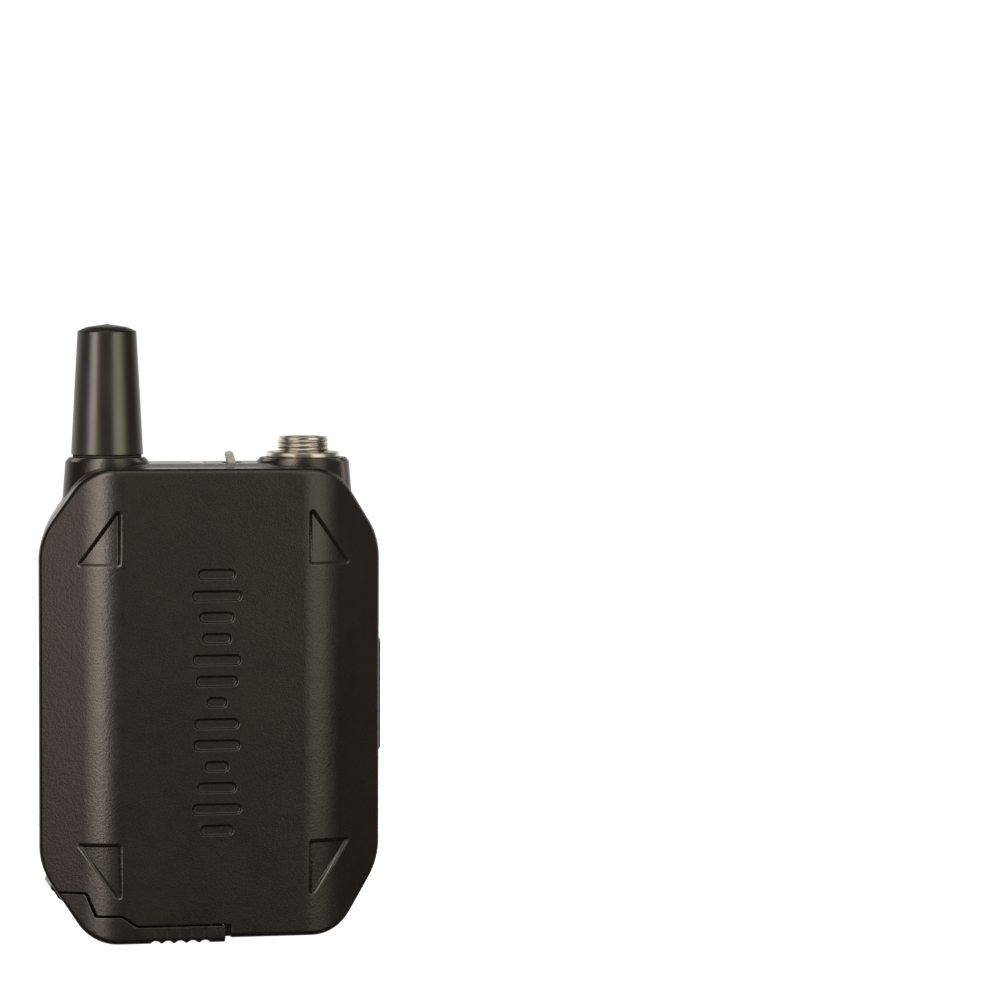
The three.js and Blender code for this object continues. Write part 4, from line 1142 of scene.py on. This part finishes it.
def button_shape(margin):
    """The side button seen from the side, or its opening."""
    return rectangle((-1.0 - margin, 3.0 + margin), (71.2 - margin, 79.3 + margin), 1.9 + margin, 8)


def sliced(bm, step):
    """Cuts the faces along a square grid, so that no large face spreads its rim's shading."""
    low = Vector([min(v.co[axis] for v in bm.verts) for axis in range(3)])
    high = Vector([max(v.co[axis] for v in bm.verts) for axis in range(3)])
    for axis in (0, 2):
        normal = Vector([float(axis == i) for i in range(3)])
        for k in range(1, int((high[axis] - low[axis]) / step) + 1):
            spot = normal * (low[axis] + k * step - 0.37)
            everything = [*bm.verts, *bm.edges, *bm.faces]
            bmesh.ops.bisect_plane(bm, geom=everything, dist=1e-4, plane_co=spot, plane_no=normal)
    return bm


def rear_housing():
    steps = [("+", boss_form(*boss)) for boss in (ANTENNA_BOSS, JACK_BOSS)]
    steps.append(("-", rear_form(WALL, SEAM_Y - 1)))
    steps += [("-", boss_form(*boss, WALL)) for boss in (ANTENNA_BOSS, JACK_BOSS)]
    for x, z in SCREWS:
        steps.append(("+", prism(circle(2.3, (x, z), 32), (0, BACK_Y - 1), "Y")))
        steps.append(("-", prism(circle(1.3, (x, z), 32), (-5, BACK_Y + 1), "Y")))
        steps.append(("-", flared(circle(2.05, (x, z)), (BACK_Y - 2, BACK_Y), "Y")))
    for x, z in CLIP_SCREWS:
        steps.append(("-", prism(circle(1.3, (x, z), 32), (BACK_Y - 3, BACK_Y + 1), "Y")))
    slot = rectangle((SWITCH_X - 1.75, SWITCH_X + 1.75), (BOSS_Y - 2, BOSS_Y + 2), 0.5)
    port = rectangle((1.35, 4.85), (41.55, 49.95), 0.8)
    pivot = Vector((DOOR_PIVOT[0], 0, DOOR_PIVOT[1]))
    steps += [
        ("-", prism(circle(2.2, (ANTENNA_X, BOSS_Y), 40), (85, 92), "Z")),
        ("-", prism(circle(5.2, (JACK_X, BOSS_Y), 64), (85, 92), "Z")),
        ("-", flared(slot, (86, REAR_TOP), "Z", 0.18)),
        ("-", flared(lens_shape(0.12), (86, REAR_TOP), "Z", 0.12)),
        ("-", flared(button_shape(GAP), (27, 31.4), "X", 0.15)),
        ("-", prism(port, (26, 34), "X")),
        ("-", flared(rectangle((-12, 12), (8.5, 20.5), 1.2), (BACK_Y - 0.5, BACK_Y), "Y", 0.12)),
        ("-", prism(seam_opening(), (FRONT_Y - 1, BACK_Y + 1), "Y")),
        ("-", lathe(rod(1.15, (-2.7, 6.7)), pivot, "Y", 40)),
        ("+", lathe(rectangle((AXIS_R, 0.85), (-3.8, -2.7), 0.12, 3), pivot, "Y", 40)),
        ("+", lathe(rectangle((AXIS_R, 0.85), (6.7, 8.2), 0.12, 3), pivot, "Y", 40)),
        ("-", lathe(rod(0.5, (-5, 7.9)), pivot, "Y", 24)),
    ]
    shell = sliced(carved(rear_form(0, SEAM_Y), *steps), 4)
    level_normals(piece("rear_housing_shell", shell, "case", "powder_coat", "rear_housing"))


def seam_opening():
    """The corner left free for the door, as one plane shape."""
    return seam("cover") + [(-40, -6)]


def seam_gasket():
    bm = bmesh.new()
    front, back = RIM_Y + 0.12, SEAM_Y - 0.12
    section = ((front, 0.62), (RIM_Y + 0.3, 0.5), (back, 0.62), (back, 1.3), (front, 1.3))
    rows = [[(x, y, z) for x, z in ring(COVER_TOP, CASE_BOTTOM, inset)] for y, inset in section]
    add_grid(bm, rows + [rows[0]], wrap=True)
    body = carved(cleaned(bm), ("-", prism(seam_opening(), (FRONT_Y - 1, BACK_Y + 1), "Y")))
    piece("seam_gasket_cord", body, "case", "soft_rubber", "seam_gasket")


def label_plate():
    plate = slab(rectangle((-11.6, 11.6), (8.9, 20.1), 1.0), (BACK_Y - 0.4, BACK_Y - 0.05), "Y", 0.1)
    groove = carved(
        prism(rectangle((-10.8, 10.8), (9.7, 19.3), 0.7), (BACK_Y - 0.13, BACK_Y + 1), "Y"),
        ("-", prism(rectangle((-10.5, 10.5), (10.0, 19.0), 0.5), (BACK_Y - 0.5, BACK_Y + 2), "Y")),
    )
    piece("label_plate_blank", carved(plate, ("-", groove)), "case", "label_film", "label_plate")


# ---- antenna and signal inlet ------------------------------------------------------------------


def antenna():
    sleeve = rounded(
        [(AXIS_R, 110), (3, 110), (4.2, 91.47), (6.8, 91.47), (5.55, 114.75), (3.9, 115.5), (AXIS_R, 116.08)],
        [0, 0.3, 0, 0.22, 0.45, 5, 0],
        7,
    )
    centre = (ANTENNA_X, BOSS_Y, 0)
    body = lathe(sleeve, centre, sides=128)
    piece("antenna_sleeve_tip", body, "case", "antenna_rubber", "antenna_sleeve", 28)
    seal = rectangle((5, 6.5), (90.98, 91.42), 0.2, 5)
    piece("antenna_seal_ring", lathe(seal, centre, sides=96), "case", "soft_rubber", "antenna_seal")


def inlet():
    centre = (JACK_X, BOSS_Y, 0)
    crest, root, bore, top, pitch = 4.9, 4.68, 4.0, 94.7, 0.84
    start, stop = 91.95, top - 0.35
    outside = [(crest - 0.15, 81.5), (crest - 0.15, start)]
    count = int((stop - start) / pitch * 16)
    outside += [(root, start + (stop - start) * k / count) for k in range(1, count + 1)]
    rim = [(root, top - 0.12), (root - 0.08, top - 0.03), (root - 0.2, top)]
    mouth = [(bore + 0.2, top), (bore + 0.06, top - 0.06), (bore, top - 0.2), (bore, 81.5)]
    profile = outside + rim + mouth

    def thread(row, turn):
        if not 2 <= row < len(outside):
            return 0
        height = profile[row][1]
        phase = ((height - start) / pitch - turn) % 1
        ridge = math.sin(math.pi * phase) ** 2
        fade = min(1, (height - start) / 0.3, (stop - height) / 0.35 + 0.05)
        return (crest - root) * ridge * max(0, fade)

    barrel = lathe(profile, centre, sides=112, shift=thread)
    piece("jack_barrel_thread", barrel, "case", "nickel", "jack_barrel", 50)
    nut = rounded([(5.2, 90.85), (7.0, 90.85), (7.0, 91.85), (5.2, 91.85)], [0.1, 0.15, 0.35, 0.15], 5)
    piece("jack_flange_ring", lathe(nut, centre, sides=128), "case", "nickel", "jack_flange_nut")
    insert = rounded([(AXIS_R, 82), (3.75, 82), (3.75, 86.5), (AXIS_R, 86.5)], [0, 0.1, 0.25, 0], 4)
    disc = lathe(insert, centre, sides=80)
    turns = [math.radians(a) for a in (45, 135, 225, 315)]
    places = [(JACK_X + 1.9 * math.cos(a), BOSS_Y + 1.9 * math.sin(a)) for a in turns]
    holes = [("-", flared(circle(0.6, p, 28), (81, 86.5), "Z", 0.1)) for p in places]
    key = ("-", block((JACK_X - 0.5, JACK_X + 0.5), (BOSS_Y + 3.2, BOSS_Y + 4.2), (85.2, 88), 0.05))
    piece("jack_insert_disc", carved(disc, *holes, key), "case", "black_plastic", "jack_insert")
    for i, (x, y) in enumerate(places):
        pin = rounded([(AXIS_R, 79.8), (0.45, 79.8), (0.45, 90.3), (AXIS_R, 90.3)], [0, 0.1, 0.35, 0], 5)
        body = lathe(pin, (x, y, 0), sides=28)
        piece(f"jack_contact_{i + 1}", body, "case", "gold_contact", f"jack_pin_{i + 1}")


# ---- controls ----------------------------------------------------------------------------------


LEVER_LEAN = math.radians(13)


def controls():
    foot = [(-0.85, 0), (-0.6, -0.6), (0.6, -0.6), (0.85, 0)]
    side = foot + [(0.62, 3.1), (0.42, 3.4), (-0.42, 3.4), (-0.62, 3.1)]
    cos, sin = math.cos(LEVER_LEAN), math.sin(LEVER_LEAN)
    leaning = [(SWITCH_X + x * cos - z * sin, SWITCH_Z + x * sin + z * cos) for x, z in side]
    shape = rounded(leaning, [0.4, 0.2, 0.2, 0.4, 0.25, 0.18, 0.18, 0.25], 4)
    lever = slab(shape, (BOSS_Y - 1.65, BOSS_Y + 1.65), "Y", 0.25, 4)
    piece("power_switch_paddle", lever, "power_switch_lever", "switch_grey", "power_switch_lever")
    lens = slab(lens_shape(0), (79.6, REAR_TOP + 0.15), "Z", 0.25, 4)
    piece("status_lens_window", lens, "case", "clear_lens", "status_lens")

    button = slab(button_shape(0), (28.8, 31.95), "X", 0.3, 4)
    crown = carved(
        prism(circle(9, (31.95 - 9, 74), 160), (-3, 5), "Y"),
        ("+", prism(circle(6, (31.95 - 6, 75), 128), (-3, 5), "Y")),
        ("+", block((28, 31.95), (-3, 5), (70, 74.6), 0.01)),
    )
    piece("side_button_cap", carved(button, ("&", crown)), "side_button", "soft_rubber", "side_button")


def charging_port():
    panel = slab(rectangle((-2.4, 8.4), (35.05, 56.45), 1.0), (29.0, 33.0), "X", 0.3, 4)
    plan = [(32.05, -2.6), (33.2, -2.6), (32.9, 7.6), (32.3, 8.6), (30.45, 8.6), (32.05, -2.4)]
    window = rectangle((-0.5, 7.1), (38.5, 52.9), 0.5)
    panel = carved(panel, ("&", prism(plan, (34, 58), "Z")), ("-", prism(window, (28, 36), "X")))
    piece("side_panel_frame", panel, "case", "black_plastic", "side_panel")
    flap = carved(
        slab(rectangle((-0.2, 6.8), (39.1, 52.4), 0.6), (31.9, 32.8), "X", 0.2, 4),
        ("+", lathe(rectangle((AXIS_R, 0.45), (-0.2, 6.8), 0.12, 3), (32.35, 0, 39.45), "Y", 32)),
        ("-", slab(rectangle((1.3, 5.3), (51.0, 51.7), 0.3), (32.5, 34), "X", 0.1)),
    )
    piece("usb_flap_leaf", flap, "usb_flap", "soft_rubber", "usb_flap")


# ---- screws and belt clip ----------------------------------------------------------------------


def screw(name, node, x, z, head_r, tip, seat, head, dome):
    """A screw whose domed head has a cross recess; tip, seat and head are depths in Y."""
    shank = [(AXIS_R, tip), (0.6, tip), (1.0, tip + 0.8), (1.0, seat)]
    top = [(head_r, seat), (head_r, head - dome), (AXIS_R, head)]
    profile = rounded(shank + top, [0, 0, 0, 0, 0.08, min(0.35, 0.8 * dome + 0.1), 0], 4)
    steps = []
    for a, b in ((head_r * 0.6, 0.24), (0.24, head_r * 0.6)):
        slot = rectangle((x - a, x + a), (z - b, z + b), 0.1, 2)
        steps.append(("-", slab(slot, (head - 0.75, head + 1), "Y", 0.12)))
    piece(name, carved(lathe(profile, (x, 0, z), "Y", 56), *steps), "case", "black_steel", node)


CASE_SCREW = (1.75, RIM_Y - 1.9, BACK_Y - 1.7, BACK_Y - 0.3, 0.15)
CLIP_SCREW = (2.0, BACK_Y - 3, BACK_Y + 1.3, BACK_Y + 2.3, 0.3)


def screws():
    for kind, places, form in (("case", SCREWS, CASE_SCREW), ("clip", CLIP_SCREWS, CLIP_SCREW)):
        for i, (x, z) in enumerate(places):
            screw(f"{kind}_screw_head_{i + 1}", f"{kind}_screw_{i + 1}", x, z, *form)


def clip_bracket():
    y, z = CLIP_PIVOT
    body = slab(rectangle((-11, 11), (69.5, 83), 1.5, 8), (BACK_Y + 0.1, BACK_Y + 1.2), "Y", 0.25, 4)
    root, end = BACK_Y + 0.4, y + 1.9
    ear = rounded([(root, z - 3), (end, z - 1.9), (end, z + 1.9), (root, z + 3)], [0, 1.85, 1.85, 0], 10)
    steps = [("+", slab(ear, span, "X", 0.18, 3)) for span in ((6.9, 8.4), (-8.4, -6.9))]
    for x, hole_z in CLIP_SCREWS:
        steps.append(("-", prism(circle(1.3, (x, hole_z), 32), (BACK_Y, BACK_Y + 3), "Y")))
    steps.append(("-", prism(circle(1.1, (y, z), 40), (-12, 12), "X")))
    piece("clip_bracket_plate", carved(body, *steps), "case", "black_steel", "clip_bracket")


def clip_line():
    """The clip's middle line in Y and Z: down the back, in to the case, and out again at the lip."""
    count = 90
    run = 17.7 - 0.556
    upper = [(16.6, 72.5), (run - 0.15, 68), (run, 60), (run, 46), (run - 0.3, 32)]
    knots = np.array(upper + [(14.3, 24.5), (12.75, 20.5), (13.3, 17.2), (15.2, 14.6)])
    last = len(knots) - 1
    out = []
    for k in range(count + 1):
        at = last * k / count
        i = min(int(at), last - 1)
        t = at - i
        p0, p1, p2, p3 = (knots[min(max(j, 0), last)] for j in (i - 1, i, i + 1, i + 2))
        if i == 0:
            p0 = p1
        if i == last - 1:
            p3 = p2
        v0, v1 = (p2 - p0) / 2, (p3 - p1) / 2
        out.append((2 * p1 - 2 * p2 + v0 + v1) * t**3 + (-3 * p1 + 3 * p2 - 2 * v0 - v1) * t**2 + v0 * t + p1)
    return np.array(out)


def clip_half_width(z, to_end):
    """Half the clip's width: narrow at the hinge, and with rounded corners at its free end."""
    if z > 66.5:
        return 4.4
    if z > 58:
        return 4.4 + (12 - 4.4) * float(smooth((66.5 - z) / 8.5))
    wide = 12 - 2 * (58 - z) / 45
    corner = 4.5
    return wide if to_end > corner else wide - corner + math.sqrt(max(corner**2 - (corner - to_end) ** 2, 0))


def belt_clip():
    line = np.array(resampled([tuple(p) for p in clip_line()], 0.35))
    along = np.gradient(line, axis=0)
    along /= np.linalg.norm(along, axis=1)[:, None]
    across = np.stack([-along[:, 1], along[:, 0]], 1)
    length = np.concatenate([[0], np.cumsum(np.linalg.norm(np.diff(line, axis=0), axis=1))])
    rows = []
    for p, n, s in zip(line, across, length[-1] - length):
        half = clip_half_width(p[1], s)
        section = rectangle((-half, half), (-0.55, 0.55), 0.32, 4)
        rows.append([(x, p[0] + n[0] * h, p[1] + n[1] * h) for x, h in section])
    y, z = CLIP_PIVOT
    knuckle = lathe(rectangle((AXIS_R, 2.0), (-4.4, 4.4), 0.25, 4), (0, y, z), "X", 64)
    bore = prism(circle(1.25, (y, z), 40), (-12, 12), "X")
    slots = [rectangle((x - 0.35, x + 0.35), (24, 56), 0.34) for x in (-4.5, 0, 4.5)]
    grooves = [("-", slab(slot, (17.45, 19), "Y", 0.1)) for slot in slots]
    leaf = carved(capped(rows), ("+", knuckle), ("-", bore), *grooves)
    piece("belt_clip_leaf", leaf, "belt_clip", "black_steel", "belt_clip", 40)

    pin = rounded(
        [(AXIS_R, -9.2), (0.9, -9.2), (0.9, 8.7), (1.6, 8.7), (1.6, 9.5), (AXIS_R, 9.5)],
        [0, 0.2, 0, 0.1, 0.3, 0],
        4,
    )
    piece("clip_hinge_pin", lathe(pin, (0, y, z), "X", 40), "case", "steel", "clip_pin")
    coil = helix((5.0, y, z), "X", 1.56, 1.3, 2.6, 28)
    piece("clip_torsion_spring", tube(coil, 0.24, 10), "case", "steel", "clip_spring")


# ---- what shows when the door is open ----------------------------------------------------------


def battery_bay():
    cell = slab(rectangle((-22.2, 0.2), (-6.5, 6.9), 2.0, 8), (7.2, 60.5), "Z", 0.7, 5)
    band = carved(
        slab(rectangle((-22.24, 0.24), (-6.54, 6.94), 2.0, 8), (15.2, 48.5), "Z", 0.03, 2),
        ("-", slab(rectangle((-22.12, 0.12), (-6.42, 6.82), 1.9, 8), (14, 50), "Z", 0.01, 2)),
    )
    piece("battery_cell", cell, "case", "battery_wrap", "battery")
    piece("battery_label_band", band, "case", "label_film")
    pad = slab(rectangle((-19, -11.5), (-5, 5), 1.0, 6), (2.3, 6.0), "Z", 0.8, 5)
    foam = piece("battery_cushion", pad, "battery_door", "foam", "battery_pad")
    bolt = carved(
        block((-5, 2.75), (-1.5, 1.5), (2.25, 3.15), 0.18),
        ("+", block((-5, -3.8), (-2.4, 2.4), (2.25, 3.15), 0.18)),
        ("-", prism([(1.9, 2.0), (3, 2.0), (3, 2.75)], (-2, 2), "Y")),
    )
    piece("door_bolt_slide_bar", bolt, "door_bolt", "black_plastic", "door_bolt")
    coil = helix((-9.1, 0, 2.7), "X", 0.36, 2.7, 6, 16)
    piece("door_bolt_coil", tube(coil, 0.08, 8), "battery_door", "steel", "door_bolt_spring")


# ---- CAD nodes that stay -----------------------------------------------------------------------

KEPT = {
    "battery_tray": ("black_plastic", 0.2),
    "contact_block": ("black_plastic", 0.3),
    "battery_contact_1": ("gold_contact", 0.08),
    "battery_contact_2": ("gold_contact", 0.08),
    "main_board": ("circuit_board", 0.06),
    "radio_shield": ("steel", 0.25),
    "radio_module": ("steel", 0.25),
    "processor_chip": ("chip_black", 0.1),
    "converter_chip": ("chip_black", 0.1),
    "charger_choke": ("copper", 0.3),
    "usb_shell": ("steel", 0.12),
    "usb_tongue": ("black_plastic", 0.08),
    "antenna_coil": ("copper", 0.1),
    "antenna_pin": ("gold_contact", 0.15),
    "jack_lock_nut": ("nickel", 0.25),
    "power_switch_body": ("black_plastic", 0.25),
    "status_led": ("clear_lens", 0.15),
    "side_button_dome": ("soft_rubber", 0.1),
    "side_button_switch": ("chip_black", 0.15),
    "door_hinge_pin": ("steel", 0.05),
}


def smoothing_group():
    """Smooth shading that breaks at sharp edges."""
    group = bpy.data.node_groups.new("smooth_by_angle", "GeometryNodeTree")
    group.interface.new_socket("Geometry", in_out="INPUT", socket_type="NodeSocketGeometry")
    group.interface.new_socket("Geometry", in_out="OUTPUT", socket_type="NodeSocketGeometry")
    nodes, links = group.nodes, group.links
    start, end = nodes.new("NodeGroupInput"), nodes.new("NodeGroupOutput")
    all_smooth = nodes.new("GeometryNodeSetShadeSmooth")
    all_smooth.domain = "FACE"
    sharp = nodes.new("GeometryNodeSetShadeSmooth")
    sharp.domain = "EDGE"
    sharp.inputs["Shade Smooth"].default_value = False
    angle = nodes.new("GeometryNodeInputMeshEdgeAngle")
    over = nodes.new("FunctionNodeCompare")
    over.data_type, over.operation = "FLOAT", "GREATER_THAN"
    over.inputs[1].default_value = math.radians(35)
    links.new(angle.outputs["Unsigned Angle"], over.inputs[0])
    links.new(over.outputs["Result"], sharp.inputs["Selection"])
    links.new(start.outputs[0], all_smooth.inputs["Geometry"])
    links.new(all_smooth.outputs[0], sharp.inputs["Geometry"])
    links.new(sharp.outputs[0], end.inputs[0])
    return group


def soften_kept():
    group = smoothing_group()
    for name, (finish, edge) in KEPT.items():
        node = frame["nodes"][name]
        node.data.materials.clear()
        node.data.materials.append(FINISH[finish])
        weld = node.modifiers.new("weld", "WELD")
        weld.merge_threshold = 2e-6
        bevel = node.modifiers.new("bevel", "BEVEL")
        bevel.width = edge * MM
        bevel.segments = 3
        bevel.limit_method = "ANGLE"
        bevel.angle_limit = math.radians(40)
        shading = node.modifiers.new("shading", "NODES")
        shading.node_group = group


# ---- floor, backdrop and lights ----------------------------------------------------------------


def stage_surface(name, bm, colour, glow):
    """A pale surface that only the camera sees."""
    mesh = mesh_from(bm, name)
    mesh.shade_smooth()
    obj = bpy.data.objects.new(name, mesh)
    material = bpy.data.materials.new(name)
    material.use_nodes = True
    shader = material.node_tree.nodes["Principled BSDF"]
    shader.inputs["Base Color"].default_value = (*colour, 1)
    shader.inputs["Roughness"].default_value = 0.9
    shader.inputs["Specular IOR Level"].default_value = 0.0
    shader.inputs["Emission Color"].default_value = (1, 1, 1, 1)
    shader.inputs["Emission Strength"].default_value = glow
    mesh.materials.append(material)
    bpy.context.scene.collection.objects.link(obj)
    obj.visible_diffuse = obj.visible_glossy = obj.visible_transmission = obj.visible_shadow = False


def make_stage():
    floor = bmesh.new()
    level = -0.0002
    rows = [[(*p, level) for p in circle(radius, (0, 0), 64)] for radius in (0.001, 0.4, 1, 2, 4, 8)]
    centre = floor.verts.new((0, 0, level))
    verts = add_grid(floor, rows, wrap=True)
    for k in range(64):
        floor.faces.new((centre, verts[0][k], verts[0][(k + 1) % 64]))
    bmesh.ops.recalc_face_normals(floor, faces=floor.faces)
    stage_surface("floor", floor, (0.8, 0.8, 0.8), 1.0)
    dome = bmesh.new()
    bmesh.ops.create_icosphere(dome, subdivisions=4, radius=9)
    bmesh.ops.reverse_faces(dome, faces=dome.faces)
    stage_surface("backdrop", dome, (0, 0, 0), 1.05)


LIGHTS_AIM_Z = 0.055  # metres above the floor, near the middle of the object


def softbox(name, azimuth, elevation, away, size, power, colour):
    """A soft light aimed at the object. Azimuth 0 is in front of the cover, and 90 is to its right."""
    data = bpy.data.lights.new(name, "AREA")
    data.shape = "RECTANGLE"
    data.size, data.size_y = size
    data.energy = power
    data.color = colour
    light = bpy.data.objects.new(name, data)
    a, e = math.radians(azimuth), math.radians(elevation)
    aim = Vector((0, 0, LIGHTS_AIM_Z))
    back = Vector((math.sin(a) * math.cos(e), -math.cos(a) * math.cos(e), math.sin(e)))
    light.matrix_world = Matrix.LocRotScale(aim + back * away, back.to_track_quat("Z", "Y"), None)
    light.visible_camera = False
    bpy.context.scene.collection.objects.link(light)
    return light


def light_only(light, objects, state="INCLUDE"):
    """Keeps a light to some pieces, or off them."""
    group = bpy.data.collections.new(light.name + "_on")
    for o in objects:
        group.objects.link(o)
    light.light_linking.receiver_collection = group
    for entry in group.collection_objects:
        entry.light_linking.link_state = state


def make_world():
    """A dim room in front of the object, and a pale one behind it that lights its outline."""
    world = bpy.data.worlds.new("room")
    bpy.context.scene.world = world
    world.use_nodes = True
    nodes, links = world.node_tree.nodes, world.node_tree.links
    sky = nodes["Background"]
    split = nodes.new("ShaderNodeSeparateXYZ")
    links.new(nodes.new("ShaderNodeTexCoord").outputs["Generated"], split.inputs[0])
    both = nodes.new("ShaderNodeMath")
    both.operation = "MULTIPLY"
    for i, (axis, *numbers) in enumerate((("Y", 0.1, 0.9, 0.02, 1.1), ("Z", 0.12, 0.55, 1.0, 0.1))):
        fade = nodes.new("ShaderNodeMapRange")
        fade.interpolation_type = "SMOOTHSTEP"
        for socket, number in zip(("From Min", "From Max", "To Min", "To Max"), numbers):
            fade.inputs[socket].default_value = number
        links.new(split.outputs[axis], fade.inputs["Value"])
        links.new(fade.outputs["Result"], both.inputs[i])
    links.new(both.outputs[0], sky.inputs["Strength"])
    sky.inputs["Color"].default_value = (1.0, 0.96, 0.92, 1)


# azimuth, power and colour of each strip
CASE_STRIPS = [
    (-50, 0.62, (1.0, 0.70, 0.68)),
    (-38, 1.90, (1.0, 0.90, 0.78)),
    (-26, 3.90, (1.0, 0.84, 0.73)),
    (-14, 0.24, (0.92, 0.82, 0.66)),
    (7, 0.11, (0.92, 1.0, 0.8)),
    (22, 1.0, (0.98, 0.95, 0.76)),
    (34, 0.99, (1.0, 0.86, 0.66)),
    (46, 0.26, (1.0, 1.0, 0.9)),
    (72, 0.13, (1.0, 1.0, 0.9)),
    (100, 1.4, (1.0, 0.80, 0.75)),
]
ANTENNA_STRIPS = [
    (-62, 4.0, (1.0, 0.91, 0.92)),
    (-50, 4.6, (1.0, 0.82, 0.60)),
    (22, 2.3, (1.0, 0.98, 0.81)),
    (34, 2.3, (1.0, 0.94, 0.65)),
    (46, 1.9, (1.0, 0.9, 0.66)),
    (58, 0.4, (1.0, 0.6, 0.4)),
]


# azimuth, width, power
INLET_FILLS = [(-54, 0.7, 4.0), (42, 0.7, 4.0), (-12, 2.6, 0.9), (140, 0.8, 1.8), (-145, 0.8, 1.8)]
# azimuth, elevation, power
ROOM_LIGHTS = [(80, 48, 3), (-125, 45, 4), (175, 50, 2)]
STRIP_SIZE = (0.19, 0.9)
STRIP_AWAY = 0.9
CASE_STRIP_POWER = 1.32


def make_lights():
    """Tall strips round the object, with others for the antenna, whose highlights lie elsewhere."""
    antenna_parts = [bpy.data.objects["antenna_sleeve_tip"]]
    bright_parts = [o for o in bpy.data.objects if o.name.startswith("jack_")]
    others = antenna_parts + bright_parts
    for azimuth, share, colour in CASE_STRIPS:
        power = CASE_STRIP_POWER * share
        strip = softbox(f"case_strip_{azimuth}", azimuth, 17, STRIP_AWAY, STRIP_SIZE, power, colour)
        light_only(strip, others, "EXCLUDE")
    for azimuth, power, colour in ANTENNA_STRIPS:
        strip = softbox(f"antenna_strip_{azimuth}", azimuth, 2, STRIP_AWAY, STRIP_SIZE, power, colour)
        light_only(strip, antenna_parts)
    for azimuth, width, power in INLET_FILLS:
        fill = softbox(f"inlet_fill_{azimuth}", azimuth, 12, 0.9, (width, 1.3), power, (1, 0.95, 0.86))
        light_only(fill, bright_parts)
    for azimuth, elevation, power in ROOM_LIGHTS:
        room = softbox(f"room_{azimuth}", azimuth, elevation, 1.1, (0.6, 0.6), power, (1, 0.96, 0.9))
        light_only(room, others + [bpy.data.objects["front_cover_shell"]], "EXCLUDE")
    softbox("overhead", -8, 62, 0.9, (0.8, 0.5), 2.0, (1, 0.94, 0.86))


front_cover()
battery_door()
rear_housing()
seam_gasket()
label_plate()
antenna()
inlet()
controls()
charging_port()
screws()
clip_bracket()
belt_clip()
battery_bay()
soften_kept()
make_stage()
make_world()
make_lights()

scene = bpy.context.scene
scene.view_settings.view_transform = "Standard"
scene.view_settings.look = "None"
